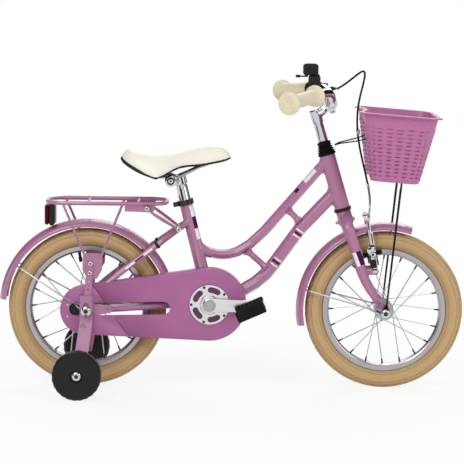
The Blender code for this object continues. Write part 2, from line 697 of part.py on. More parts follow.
def head_parts():
    """Lower cup, cap with its boot ribs, and the quill stem."""
    hole = bore(STEERER_RADIUS, 16)
    foot = steer_at(0.0)
    skirt = HEAD_BORE - FIT
    cup = [(hole, -CUP_HEIGHT), (CUP_RADIUS, -CUP_HEIGHT), (CUP_RADIUS, -FIT), (skirt, -FIT), (skirt, 0.010),
           (hole, 0.010)]
    piece("head_lower_cup", turned(cup, 16, foot, STEER_UP), BLACK_PLASTIC)
    base = HEAD_LENGTH + FIT
    cap = [(hole, base), (0.0180, base), (0.0190, base + 0.0060), (0.0165, base + 0.0200),
           (0.0150, base + 0.0245),
           (0.0150, base + 0.0295), (bore(QUILL_RADIUS, 16), base + 0.0295),
           (bore(QUILL_RADIUS, 16), STEERER_TOP + FIT), (hole, STEERER_TOP + FIT)]
    piece("head_cap", turned(cap, 16, foot, STEER_UP), BLACK_PLASTIC)
    joint = 0.194
    quill = [(0, QUILL_FOOT), (QUILL_RADIUS, QUILL_FOOT), (QUILL_RADIUS, joint), (0.0125, joint + 0.001),
             (0.0125, QUILL_TOP), (0.0105, QUILL_TOP + 0.0025), (0, QUILL_TOP + 0.0025)]
    stem = turned(quill, 16, foot, STEER_UP, ring=False)
    clamp = at(BAR_CLAMP[0], 0.0, BAR_CLAMP[1])
    neck = tube([steer_at(QUILL_TOP - 0.012), clamp], 0.0105, 2)
    barrel = rod(clamp - SIDE * 0.019, clamp + SIDE * 0.019, 0.0155, 16)
    low = clamp - STEER_UP * 0.0165
    lug = block(low, (0.013, 0.016, 0.012), (STEER_FORE, SIDE, STEER_UP))
    bolt = rod(low - SIDE * 0.013, low + SIDE * 0.013, 0.0035, 8)
    hole = rod(clamp - SIDE * 0.03, clamp + SIDE * 0.03, bore(BAR_RADIUS, 16), 16)
    stem = cut(fused(stem, neck, barrel, lug, bolt), hole)
    piece("stem", stem, CHROME)


def fork():
    """Fork with hollow steerer, crown, raked legs, brake bosses and dropouts."""
    top = -CUP_HEIGHT - FIT
    body = [(0, top - CROWN_LENGTH), (CROWN_RADIUS - 0.003, top - CROWN_LENGTH),
            (CROWN_RADIUS, top - CROWN_LENGTH + 0.003),
            (CROWN_RADIUS, top), (STEERER_RADIUS, top), (STEERER_RADIUS, STEERER_TOP),
            (QUILL_RADIUS + PIVOT_FIT, STEERER_TOP), (QUILL_RADIUS + PIVOT_FIT, QUILL_FOOT - 0.01),
            (0, QUILL_FOOT - 0.01)]
    parts = []
    run = [(-0.0895, 0.0040, 0.3765), (-0.0882, 0.0160, 0.3735), (-0.0860, 0.0330, 0.3650),
           (-0.0815, 0.0425, 0.3530),
           (-0.0755, 0.0430, 0.3370), (-0.0514, 0.0445, 0.2622), (-0.0446, 0.0455, 0.2435),
           (-0.0339, 0.0470, 0.2248),
           (-0.0215, 0.0485, 0.2059), (-0.0115, 0.0495, 0.1925)]
    radii = [1.0, 1.03, 1.03, 1.0, 0.98, 0.88, 0.82, 0.76, 0.66, 0.58]
    axle = (WHEELBASE, AXLE_Z)
    hole = pin_hole(*axle, FRONT_AXLE_RADIUS)
    for side in (-1, 1):
        parts.append(tube([ahead(x, side * y, z) for x, y, z in run], 0.0137, 2, radii))
        outline = hull_of_two(axle, 0.0115, (WHEELBASE - 0.011, 0.1935), 0.0075, 6)
        parts.append(plate(outline, side * FRONT_INNER, side * (FRONT_INNER + FRONT_DROPOUT_WALL), [hole]))
        pivot = at(BRAKE_PIVOT.x, side * BRAKE_PIVOT.y, BRAKE_PIVOT.z)
        shoulder = pivot - ARM_FORE * (ARM_DEPTH / 2 + FIT)
        parts.append(rod(pivot - ARM_FORE * 0.024, shoulder, 0.0055, 8))
        parts.append(rod(pivot - ARM_FORE * 0.010, pivot + ARM_FORE * (ARM_DEPTH / 2 + 0.003), BRAKE_PIN, 8))
    steerer = turned(body, 16, steer_at(0.0), STEER_UP, ring=False)
    piece("fork", fused(steerer, *parts), PINK_PAINT, steer_at(0.0))


def bar_path(side):
    """Half of the handlebar: one smooth bend out of the clamp, then straight inside the grip."""
    straight = GRIP_INNER + BAR_IN * 0.038
    bend = [(-0.1260, 0.0210, 0.6290), (-0.1257, 0.0310, 0.6335), (-0.1260, 0.0460, 0.6415),
            (-0.1285, 0.0620, 0.6495), (-0.1345, 0.0795, 0.6550)]
    run = [*((WHEELBASE + x, y, z) for x, y, z in bend), tuple(straight)]
    clamp = Vector((BAR_CLAMP[0], 0.0, BAR_CLAMP[1]))
    points = [clamp, *smooth(run, 0.013), GRIP_OUTER + BAR_IN * 0.010]
    return [at(p.x, side * p.y, p.z) for p in points]


def on_bar(side, inward, fore=0.0, up=0.0):
    """A point beside the bar, counted inward from the grip's inner end."""
    spot = GRIP_INNER + BAR_IN * inward
    forward = Vector((-BAR_IN.y, BAR_IN.x, 0.0)).normalized()
    spot = spot + forward * fore + UP * up
    return at(spot.x, side * spot.y, spot.z)


def bar_direction(side):
    """The direction in which the grip points inward."""
    return Vector((BAR_IN.x, side * BAR_IN.y, BAR_IN.z))


def grip(name, side):
    """A round grip with a wide end flange. The right one has a second flange at its inner end."""
    length = (GRIP_INNER - GRIP_OUTER).length
    hole = bore(BAR_RADIUS, 14)
    body = GRIP_RADIUS
    profile = [(0, 0.0), (GRIP_FLANGE - 0.004, 0.0), (GRIP_FLANGE, 0.0040), (GRIP_FLANGE, 0.0100),
               (body, 0.0220)]
    if side < 0:
        profile += [(body, length - 0.012), (GRIP_FLANGE - 0.001, length - 0.0045),
                    (GRIP_FLANGE - 0.001, length - 0.001)]
    else:
        profile += [(body, length - 0.001)]
    profile += [(hole, length - 0.001), (hole, 0.0095), (0, 0.0095)]
    base = at(GRIP_OUTER.x, side * GRIP_OUTER.y, GRIP_OUTER.z)
    piece(name, turned(profile, 14, base, bar_direction(side), ring=False), CREAM_RUBBER)


def handlebar():
    """Handlebar and grips."""
    piece("handlebar", tube([*reversed(bar_path(1)), *bar_path(-1)[1:]], BAR_RADIUS), CHROME)
    sided("grip", grip)


def brake_lever():
    """Brake lever perch with its cable adjuster, and the lever blade on its pin."""
    axis = bar_direction(1)
    low, high = PERCH_SPAN
    ring = rod(on_bar(1, low), on_bar(1, high), PERCH_RADIUS, 14)
    forward = Vector((-BAR_IN.y, BAR_IN.x, 0.0)).normalized()
    middle = (low + high) / 2
    arm = block(on_bar(1, middle, 0.026, -0.0015), (0.034, high - low - 0.002, 0.010),
                (forward, axis, forward.cross(axis)))
    root = on_bar(1, middle, 0.030)
    pin = rod(root - UP * 0.004, root + UP * 0.0127, LEVER_PIN, 8)
    nose = on_bar(1, high - 0.004, 0.036, -0.001)
    adjuster = rod(nose, nose + axis * 0.0175, 0.0048, 8)
    barrel = rod(nose + axis * 0.016, nose + axis * 0.0275, 0.0036, 8)
    hole = rod(on_bar(1, low - 0.01), on_bar(1, high + 0.01), bore(BAR_RADIUS, 14), 14)
    perch = cut(fused(ring, arm, pin, adjuster, barrel), hole)
    piece("lever_perch", perch, BLACK_PLASTIC)

    base = root + UP * 0.0086
    run = [(0.0, 0.0), (-0.012, 0.007), (-0.030, 0.014), (-0.060, 0.019), (-LEVER_REACH, 0.017)]
    points = [base + axis * along + forward * out for along, out in run]
    blade = tube(points, 0.0036, 2)
    boss = rod(base - UP * 0.0032, base + UP * 0.0032, 0.0068, 10)
    knob = rod(points[-1] - UP * 0.0042, points[-1] + UP * 0.0042, 0.0055, 8)
    hole = rod(base - UP * 0.02, base + UP * 0.02, bore(LEVER_PIN, 8), 8)
    piece("brake_lever", cut(fused(blade, boss, knob), hole), BLACK_PLASTIC, base)
    return nose + axis * (0.0275 + FIT)


def bell():
    """Box-shaped bell on its ring round the bar, and its thumb lever."""
    low, high = BELL_RING
    ring = rod(on_bar(1, low), on_bar(1, high), 0.0160, 12)
    foot = on_bar(1, (low + high) / 2)
    neck_top = Vector((foot.x, foot.y, 0.6870))
    neck = rod(foot, neck_top, 0.0042, 8)
    centre = ahead(-0.165, 0.112, 0.697)
    box = block(centre, (0.034, 0.026, 0.026), None, 0.004)
    hole = rod(on_bar(1, low - 0.01), on_bar(1, high + 0.01), bore(BAR_RADIUS, 12), 12)
    piece("bell", cut(fused(ring, neck, box), hole), BLACK_PLASTIC)
    pivot = centre + Vector((-0.0105, 0.0, -0.013 - FIT))
    arm = block(pivot + Vector((-0.008, 0.0, -0.0017)), (0.024, 0.009, 0.003))
    tip = rod(pivot + Vector((-0.018, 0.0, -0.0045)), pivot + Vector((-0.018, 0.0, 0.0015)), 0.005, 8)
    piece("bell_lever", fused(arm, tip), BLACK_PLASTIC, pivot)


def front_brake(cable_start):
    """Brake arms with pads, noodle and the cable from the lever."""
    pad_y = RIM_HALF_WIDTH + PAD_GAP
    for word, side in (("right", -1), ("left", 1)):
        pivot = at(BRAKE_PIVOT.x, side * BRAKE_PIVOT.y, BRAKE_PIVOT.z)
        line = at(BRAKE_PIVOT.x, side * ARM_Y, BRAKE_PIVOT.z)
        axes = (ARM_FORE, SIDE, ARM_UP)
        barrel = rod(pivot - ARM_FORE * ARM_DEPTH / 2, pivot + ARM_FORE * ARM_DEPTH / 2, 0.0068, 10)
        bar = block(line + ARM_UP * (ARM_LENGTH / 2), (0.008, ARM_WALL, ARM_LENGTH), axes, 0.0015)
        spot = line + ARM_UP * PAD_UP
        inner = Vector((spot.x, side * (pad_y + PAD_SIZE[1] + FIT), spot.z))
        post = rod(inner, Vector((spot.x, side * (ARM_Y + 0.0085), spot.z)), 0.0036, 6)
        nut = rod(Vector((spot.x, side * ARM_Y, spot.z)), Vector((spot.x, side * (ARM_Y + 0.0070), spot.z)),
                  0.0060, 6)
        top = line + ARM_UP * (ARM_LENGTH - ANCHOR_DROP)
        anchor = rod(top - ARM_FORE * 0.0065, top + ARM_FORE * 0.0065, 0.0050, 8)
        hole = rod(pivot - ARM_FORE * 0.03, pivot + ARM_FORE * 0.03, bore(BRAKE_PIN, 8), 8)
        piece(f"brake_arm_{word}", cut(fused(bar, barrel, post, nut, anchor), hole), CHROME, pivot)
        out = (spot - at(WHEELBASE, spot.y, AXLE_Z)).normalized()
        centre = Vector((spot.x, side * (pad_y + PAD_SIZE[1] / 2), spot.z)) - out * 0.0008
        pad = block(centre, PAD_SIZE, (out.cross(SIDE), SIDE, out), 0.0012)
        piece(f"brake_pad_{word}", pad, BLACK_PLASTIC, pivot)
    tip = BRAKE_PIVOT + ARM_UP * ARM_LENGTH
    bend = [(0.0038, -0.0128, 0.0569), (0.0048, -0.0150, 0.0511), (0.0053, -0.0270, 0.0439),
            (0.0054, -0.0410, 0.0334), (0.0050, -0.0505, 0.0199), (0.0040, -0.0520, 0.0084),
            (0.0030, -0.0475, 0.0019), (0.0025, -ARM_Y - ARM_WALL / 2 - 0.0010, 0.0001)]
    noodle = [at(tip.x + x, y, tip.z + z) for x, y, z in bend]
    piece("brake_noodle", tube(smooth(noodle, 0.010), 0.0024), ZINC)
    route = [(-0.0960, 0.0905, 0.6620), (-0.0810, 0.0790, 0.6740), (-0.0650, 0.0685, 0.6880),
             (-0.0545, 0.0605, 0.6960),
             (-0.0490, 0.0525, 0.6962), (-0.0484, 0.0450, 0.6870), (-0.0525, 0.0370, 0.6680),
             (-0.0585, 0.0280, 0.6450),
             (-0.0635, 0.0190, 0.6200), (-0.0655, 0.0110, 0.5920), (-0.0640, 0.0040, 0.5620),
             (-0.0590, -0.0020, 0.5300),
             (-0.0515, -0.0070, 0.4970), (-0.0445, -0.0095, 0.4680)]
    back = (noodle[0] - noodle[1]).normalized()
    points = [cable_start, cable_start + bar_direction(1) * 0.008, *(ahead(*p) for p in route),
              noodle[0] + back * 0.008, noodle[0] + back * FIT]
    piece("brake_cable", tube(smooth(points, 0.013), 0.0022), BLACK_PLASTIC)


def basket_level(share):
    """Sizes of the basket's outside at a level, from 0 at the rim to 1 at the bottom."""
    rear = BASKET_REAR[0] + (BASKET_REAR[1] - BASKET_REAR[0]) * share
    front = BASKET_FRONT[0] + (BASKET_FRONT[1] - BASKET_FRONT[0]) * share
    half = BASKET_HALF[0] + (BASKET_HALF[1] - BASKET_HALF[0]) * share
    rear_z = BASKET_RIM_Z[0] + (BASKET_BOTTOM_Z[0] - BASKET_RIM_Z[0]) * share
    front_z = BASKET_RIM_Z[1] + (BASKET_BOTTOM_Z[1] - BASKET_RIM_Z[1]) * share
    return rear, front, half, rear_z, front_z


def basket_loop(share, inset, corner, raise_by=0.0):
    """One level of the basket: a rounded rectangle whose rear side is drawn in for the cable."""
    rear, front, half, rear_z, front_z = basket_level(share)
    slope = (front_z - rear_z) / (front - rear)
    base = rear_z - rear * slope
    x0, x1, y1 = rear + inset, front - inset, half - inset
    corners = [(x1 - corner, y1 - corner, 0), (x0 + corner, y1 - corner, 90),
               (x0 + corner, corner - y1, 180), (x1 - corner, corner - y1, 270)]
    points = []
    for cx, cy, start in corners:
        for step in range(5):
            turn = math.radians(start + 22.5 * step)
            points.append([cx + corner * math.cos(turn), cy + corner * math.sin(turn)])
        if start == 90:
            count = 6
            reach = y1 - corner
            points += [[x0, reach - 2 * reach * i / count] for i in range(1, count)]
    span = y1 - corner
    for point in points:
        if point[0] < x0 + corner and abs(point[1]) < span:
            point[0] += BASKET_HOLLOW * (1 - (point[1] / span) ** 2) * (1 - 0.3 * share)
    return [at(x, y, base + slope * x + raise_by) for x, y in points]


def rear_wall_x(share, y):
    """Where the basket's drawn-in rear wall stands at a level and a distance from the middle."""
    rear, _, half, _, _ = basket_level(share)
    corner = 0.034 - 0.012 * share
    return rear + BASKET_HOLLOW * (1 - (y / (half - corner)) ** 2) * (1 - 0.3 * share)


def basket():
    """Moulded basket with its rim lip, its axle stays and its bracket wire."""
    wall = BASKET_WALL
    loops = [
        basket_loop(1.0, 0.006, 0.018), basket_loop(0.97, 0.0, 0.0225), basket_loop(0.03, 0.0, 0.0335),
        basket_loop(0.03, -BASKET_LIP, 0.0385), basket_loop(0.0, -BASKET_LIP, 0.039),
        basket_loop(0.0, wall, 0.0315),
        basket_loop(0.97, wall, 0.020), basket_loop(1.0, 0.008, 0.016, wall + 0.001),
    ]
    piece("basket", lofted(loops), PINK_PLASTIC)

    floor_slope = (BASKET_BOTTOM_Z[1] - BASKET_BOTTOM_Z[0]) / (BASKET_FRONT[1] - BASKET_REAR[1])
    floor_z = BASKET_BOTTOM_Z[0] + floor_slope * (BASKET_WIRE_X - BASKET_REAR[1])
    wire_z = floor_z - FIT - BASKET_WIRE - 0.0002
    eye_y = (BASKET_EYE[0] + BASKET_EYE[1]) / 2
    rise = [(WHEELBASE + 0.0022, eye_y, AXLE_Z + 0.0120), (BASKET_WIRE_X - 0.0022, eye_y, wire_z - 0.016),
            (BASKET_WIRE_X - 0.0010, eye_y - 0.0010, wire_z - 0.0085),
            (BASKET_WIRE_X, eye_y - 0.0060, wire_z - 0.0020),
            (BASKET_WIRE_X, eye_y - 0.0130, wire_z)]
    left = [at(*p) for p in rise]
    wire = tube([*left, *reversed(mirrored(left))], BASKET_WIRE, 1)
    axle = (WHEELBASE, AXLE_Z)
    eyes = []
    for side in (-1, 1):
        outline = hull_of_two(axle, 0.0085, (WHEELBASE + 0.0024, AXLE_Z + 0.0150), 0.0032, 6)
        hole = pin_hole(*axle, FRONT_AXLE_RADIUS)
        eyes.append(plate(outline, side * BASKET_EYE[0], side * BASKET_EYE[1], [hole]))
    piece("basket_stay", fused(wire, *eyes), BLACK_PLASTIC)

    level = (BASKET_RIM_Z[0] - 0.556) / (BASKET_RIM_Z[0] - BASKET_BOTTOM_Z[0])
    radius = 0.0016
    end_x = rear_wall_x(level, 0.045) - 0.0012
    cap_front = steer_at(HEAD_LENGTH + 0.018, 0.0180 + radius + FIT)
    half = [Vector((end_x + REAR_X, 0.045, 0.5560)), Vector((end_x + REAR_X - 0.020, 0.0375, 0.5500)),
            Vector((cap_front.x + 0.012, 0.0150, cap_front.z + 0.004)),
            Vector((cap_front.x + 0.003, 0.0060, cap_front.z))]
    piece("basket_bracket", tube([*half, *reversed(mirrored(half))], radius, 1), BLACK_PLASTIC)


def seat_parts():
    """Seat clamp, post, saddle clamp and rails."""
    radius = SEAT_TUBE_RADIUS + FIT
    low = SEAT_TUBE_LENGTH - 0.0115
    collar = turned([(radius, low), (0.0178, low), (0.0178, SEAT_TUBE_LENGTH), (radius, SEAT_TUBE_LENGTH)],
                    16,
                    seat_at(0.0), SEAT_UP)
    middle = low + 0.0058
    lug = block(seat_at(middle, 0.0215), (0.012, 0.013, 0.0100), (SEAT_BACK, SIDE, SEAT_BACK.cross(SIDE)))
    bolt = rod(seat_at(middle, 0.0225, -0.0105), seat_at(middle, 0.0225, 0.0105), 0.0034, 8)
    piece("seat_clamp", fused(collar, lug, bolt), BLACK_PLASTIC)

    post = [(0, POST_FOOT), (POST_RADIUS, POST_FOOT), (POST_RADIUS, POST_SHOULDER),
            (NECK_RADIUS, POST_SHOULDER + 0.003),
            (NECK_RADIUS, POST_TOP), (0, POST_TOP)]
    piece("seatpost", turned(post, 16, seat_at(0.0), SEAT_UP, ring=False), CHROME, seat_at(0.0))

    pivot = saddle_at(0.0, 0.0, 0.0)
    sleeve = rod(seat_at(POST_SHOULDER + 0.0045), seat_at(POST_TOP - 0.001), 0.0142, 12)
    cheek = block((pivot + seat_at(POST_TOP - 0.010)) / 2, (0.018, 0.022, 0.013))
    cross = rod(pivot - SIDE * 0.0330, pivot + SIDE * 0.0330, CROSS_BOLT_RADIUS, 8)
    washers = [rod(pivot + SIDE * side * 0.0237, pivot + SIDE * side * 0.0302, 0.0128, 12) for side in (-1,
                                                                                                        1)]
    hole = rod(seat_at(POST_SHOULDER - 0.02), seat_at(POST_TOP + 0.02), bore(NECK_RADIUS, 12), 12)
    piece("saddle_clamp", cut(fused(sleeve, cheek, cross, *washers), hole), ZINC)

    bend = RAIL_END - UP * 0.005
    low = CROSS_BOLT_RADIUS + RAIL_RADIUS + FIT
    run = [tuple(RAIL_END), tuple(bend), (-0.0406, 0.0275, 0.0155), (-0.0266, 0.0215, 0.0090),
           (-0.0116, RAIL_HALF_GAP, low), (0.0134, RAIL_HALF_GAP, low), (0.0364, 0.0180, 0.0180),
           (0.0604, 0.0120, 0.0300), (0.0744, 0.0070, 0.0345)]
    right = [saddle_at(x, -y, z) for x, y, z in run]
    rails = [*right, saddle_at(*RAIL_NOSE), *reversed(mirrored(right))]
    piece("saddle_rails", tube(rails, RAIL_RADIUS), ZINC, pivot)


def saddle_stations():
    """Saddle outline from tail to nose, from its pivot: place, half width, height of lower edge and crown."""
    return [
        (-0.1066, 0.0150, 0.0490, 0.0560), (-0.1016, 0.0340, 0.0440, 0.0635), (-0.0896, 0.0540, 0.0370, 0.0695),
        (-0.0706, 0.0670, 0.0270, 0.0685), (-0.0506, 0.0740, 0.0170, 0.0670), (-0.0316, 0.0760, 0.0110, 0.0655),
        (-0.0156, 0.0700, 0.0165, 0.0650), (0.0014, 0.0570, 0.0255, 0.0650), (0.0184, 0.0420, 0.0325, 0.0665),
        (0.0384, 0.0320, 0.0355, 0.0695), (0.0634, 0.0260, 0.0370, 0.0740), (0.0884, 0.0225, 0.0410, 0.0770),
        (0.1084, 0.0195, 0.0450, 0.0750), (0.1214, 0.0150, 0.0485, 0.0670), (0.1289, 0.0080, 0.0515, 0.0590),
    ]


def crown(x, half, low, high, count):
    """An arched section across the bike, from right to left: full at the top, drawn in at the sides."""
    points = []
    for step in range(count + 1):
        turn = math.pi * (step / count - 0.5)
        y = math.copysign(abs(math.sin(turn)) ** 0.8, turn) * half
        points.append(saddle_at(x, y, low + (high - low) * max(0.0, math.cos(turn)) ** 0.8))
    return points


def saddle_body():
    """Saddle cushion with its crown and drawn-in sides, and the pan under it."""
    cushion, pan = [], []
    for x, half, low, high in saddle_stations():
        room = max(0.0008, high - CUSHION_THICK - low)
        inner = max(half - CUSHION_EDGE, half * 0.6)
        over = crown(x, half, low, high, 12)
        under = crown(x, inner, low, low + room, 6)
        cushion.append(over + under[::-1])
        lip = half - 0.001 if half > 0.01 else half * 0.85
        shelf = low - FIT
        base = shelf - PAN_THICK
        arch = crown(x, inner - 0.0020, shelf, shelf + max(0.0004, room - 0.0024), 6)
        hollow = crown(x, max(inner - 0.0045, inner * 0.5), base, base + max(0.0002, room - 0.0034), 4)
        ends = ([saddle_at(x, -lip, shelf)], [saddle_at(x, lip, shelf), saddle_at(x, lip, base)],
                [saddle_at(x, -lip, base)])
        pan.append(ends[0] + arch + ends[1] + hollow[::-1] + ends[2])
    pivot = saddle_at(0.0, 0.0, 0.0)
    sockets = []
    for side in (-1, 1):
        seat = saddle_at(RAIL_END.x, side * RAIL_END.y, RAIL_END.z + FIT + SOCKET_HEIGHT / 2)
        sockets.append(block(seat, (0.012, 0.012, SOCKET_HEIGHT)))
    nose = saddle_at(RAIL_NOSE.x - 0.003, 0.0, RAIL_NOSE.z + RAIL_RADIUS + FIT + NOSE_SOCKET_HEIGHT / 2)
    sockets.append(block(nose, (0.014, 0.016, NOSE_SOCKET_HEIGHT)))
    piece("saddle_cushion", lofted(cushion), CREAM_VINYL, pivot)
    piece("saddle_base", fused(lofted(pan), *sockets), BLACK_PLASTIC, pivot)


def stretched_ring(rear_radius, front_radius, offset):
    """The outline of a belt round both wheels of the drive, grown by an offset."""
    return hull_of_two((0.0, AXLE_Z), rear_radius + offset, BRACKET, front_radius + offset, 14)


def drive():
    """Chainring with its posts, cranks with spider and pedal axles, pedals, sprocket and chain."""
    centre = at(BRACKET[0], 0.0, BRACKET[1])
    hole = bore(SPINDLE_RADIUS, 20)
    ring_in, ring_out = CHAIN_LINE + 0.0015, CHAIN_LINE - 0.0015
    ring = turned([(hole, ring_in + 0.004), (0.014, ring_in + 0.004), (0.014, ring_in),
                   (RING_RADIUS, ring_in),
                   (RING_RADIUS, ring_out), (0.020, ring_out), (0.020, ring_out - 0.004),
                   (hole, ring_out - 0.004)], 20, centre)
    posts = []
    spider_in = CASE_INSIDE
    for index in range(5):
        turn = math.radians(36 + 72 * index)
        spot = centre + Vector((math.cos(turn), 0.0, math.sin(turn))) * 0.0400
        posts.append(rod(spot + SIDE * (ring_out + 0.001), spot + SIDE * (spider_in + FIT), 0.0030, 6))
    piece("chainring", fused(ring, *posts), ALUMINIUM, centre)

    for word, side in (("right", -1), ("left", 1)):
        crank(word, side, centre)
        pedal(word, side, centre)

    axle = at(0.0, 0.0, AXLE_Z)
    hub = bore(REAR_AXLE_RADIUS, 16)
    sprocket = [(hub, -0.0330), (0.0150, -0.0330), (0.0150, ring_in), (SPROCKET_RADIUS, ring_in),
                (SPROCKET_RADIUS, ring_out), (0.0150, ring_out), (0.0150, -0.0500), (hub, -0.0500)]
    piece("rear_sprocket", turned(sprocket, 16, axle), ZINC, axle)
    outer = stretched_ring(SPROCKET_RADIUS, RING_RADIUS, CHAIN_SEAT + CHAIN_DEPTH)
    inner = stretched_ring(SPROCKET_RADIUS, RING_RADIUS, CHAIN_SEAT)
    chain = plate(outer, CHAIN_LINE - CHAIN_WIDTH / 2, CHAIN_LINE + CHAIN_WIDTH / 2, [inner])
    piece("chain", chain, ZINC)


def crank(word, side, centre):
    """One crank arm with its pedal axle. The right one has the spider disc, the left one the spindle."""
    inner = side * CRANK_INNER
    outer = side * (CRANK_INNER + CRANK_THICK)
    direction = -side
    tip = (BRACKET[0] + direction * CRANK_LENGTH, BRACKET[1])
    first, second = (BRACKET, tip) if direction > 0 else (tip, BRACKET)
    radii = (0.0150, 0.0120) if direction > 0 else (0.0120, 0.0150)
    arm = plate(hull_of_two(first, radii[0], second, radii[1], 8), inner, outer)
    axle = rod(at(tip[0], outer - side * 0.002, tip[1]), at(tip[0], side * 0.160, tip[1]), PEDAL_AXLE_RADIUS,
               10)
    if side < 0:
        start, end = CASE_INSIDE, CASE_INSIDE - SPIDER_WALL
        outline = ring_points(*BRACKET, SPIDER_RADIUS, 24)
        windows = []
        for index in range(5):
            middle = 72 * index
            outside = circle_points(*BRACKET, 0.0385, middle - 19, middle + 19, 2)
            inside = circle_points(*BRACKET, 0.0275, middle + 16, middle - 16, 2)
            windows.append(outside + inside)
        disc = plate(outline, start, end, windows)
        boss = rod(centre + SIDE * (start - 0.0005), centre + SIDE * (outer - 0.0035), 0.0190, 14)
        hole = rod(centre + SIDE * (start + 0.01), centre + SIDE * (outer + 0.0035),
                   bore(SPINDLE_RADIUS, 12), 12)
        body = cut(fused(disc, boss, arm, axle), hole)
    else:
        boss = rod(centre + SIDE * (SHELL_HALF + 0.0015), centre + SIDE * (outer + 0.003), 0.0170, 14)
        far = -(CRANK_INNER + CRANK_THICK - 0.0045)
        spindle = rod(centre + SIDE * far, centre + SIDE * (outer - 0.002), SPINDLE_RADIUS, 12)
        body = fused(boss, arm, spindle, axle)
    piece(f"crank_{word}", body, ALUMINIUM, centre)


def pedal(word, side, centre):
    """A block pedal turned about its own axle."""
    tip = centre + Vector((-side * CRANK_LENGTH, 0.0, 0.0))
    start = side * (CRANK_INNER + CRANK_THICK + 0.005)
    long, wide, tall = PEDAL_SIZE
    middle = tip + SIDE * (start + side * wide / 2)
    turn = Matrix.Rotation(PEDAL_TILT, 3, 'Y')
    axes = [turn @ axis for axis in (Vector((1, 0, 0)), SIDE, UP)]
    body = block(middle, (long, wide, tall), axes, 0.003)
    rims = []
    for along in (-0.021, 0.0, 0.021):
        for up in (-1, 1):
            spot = middle + axes[0] * along + axes[2] * (up * (tall / 2 + 0.0005))
            rims.append(block(spot, (0.006, wide + 0.004, 0.004), axes))
    hole = rod(tip + SIDE * (start - side * 0.01), tip + SIDE * side * 0.1603, bore(PEDAL_AXLE_RADIUS, 10),
               10)
    piece(f"pedal_{word}", cut(fused(body, *rims), hole), BLACK_PLASTIC, tip)


def chaincase():
    """Chaincase: one pressed shell round the chain, parted at its seams into a rear and a front piece."""
    rear = CASE_REAR_CENTRE
    full = plate(hull_of_two(rear, CASE_REAR_RADIUS, BRACKET, CASE_FRONT_RADIUS, 16), CASE_OUTSIDE, CASE_BACK)
    inside = hull_of_two(rear, CASE_REAR_RADIUS - CASE_WALL, BRACKET, CASE_FRONT_RADIUS - CASE_WALL, 16)
    cavity = plate(inside, CASE_INSIDE, CASE_BACK + 0.01)
    slot = plate(hull_of_two((-0.0330, 0.1762), SLOT_RADIUS, (0.1690, 0.1805), SLOT_RADIUS, 8),
                 CASE_OUTSIDE - 0.01, CASE_INSIDE + 0.004)
    window = rod(at(BRACKET[0], CASE_OUTSIDE - 0.01, BRACKET[1]),
                 at(BRACKET[0], CASE_INSIDE + 0.004, BRACKET[1]), SPIDER_RADIUS + 0.0012, 24)
    notch = tube(seatstay_path(-1)[:4], 0.0068 + 0.0014, 2)
    shell = cut(full, cavity, slot, window, notch)
    gap = 0.0006
    seam = [(-0.005, 0.2560), (0.0400, 0.1920), (0.0696, 0.1600), (0.1120, 0.0900)]
    behind = [(-0.10, 0.0900), (-0.10, 0.2560)]
    rear_side = plate(seam + behind, CASE_OUTSIDE - 0.02, CASE_BACK + 0.02)
    shifted = [(x + gap, z) for x, z in seam]
    front_side = plate(shifted + [(0.40, 0.0900), (0.40, 0.2900), (-0.0284 + 0.01, 0.2900)],
                       CASE_OUTSIDE - 0.02, CASE_BACK + 0.02)
    rear_shell = worked(shell.copy(), [rear_side], 'INTERSECT')
    front_shell = worked(shell, [front_side], 'INTERSECT')
    piece("chaincase_rear", rear_shell, PINK_PLASTIC)
    piece("chaincase_front", front_shell, PINK_PLASTIC)


def coaster_arm():
    """Reaction arm of the coaster brake, clipped to the left chainstay."""
    y_in, y_out = 0.0495, 0.0525
    axle = (0.0, AXLE_Z)
    hole = pin_hole(*axle, REAR_AXLE_RADIUS)
    near = plate(hull_of_two(axle, 0.0110, (0.034, 0.1600), 0.0055, 6), y_in, y_out, [hole])
    path = chainstay_path(1)
    first, second = path[4], path[3]
    along = (second - first).normalized()
    spot = first + (second - first) * 0.45
    bar = tube([at(0.030, 0.0510, 0.1605), at(0.060, 0.0505, 0.1610), at(0.095, 0.0490, 0.1650),
                spot - UP * 0.0113], 0.0030)
    inside, outside = bore(0.0081, 10), 0.0112
    ring = turned([(inside, -0.005), (outside, -0.005), (outside, 0.005), (inside, 0.005)], 10, spot, along)
    piece("coaster_arm", fused(near, bar, ring), ZINC)


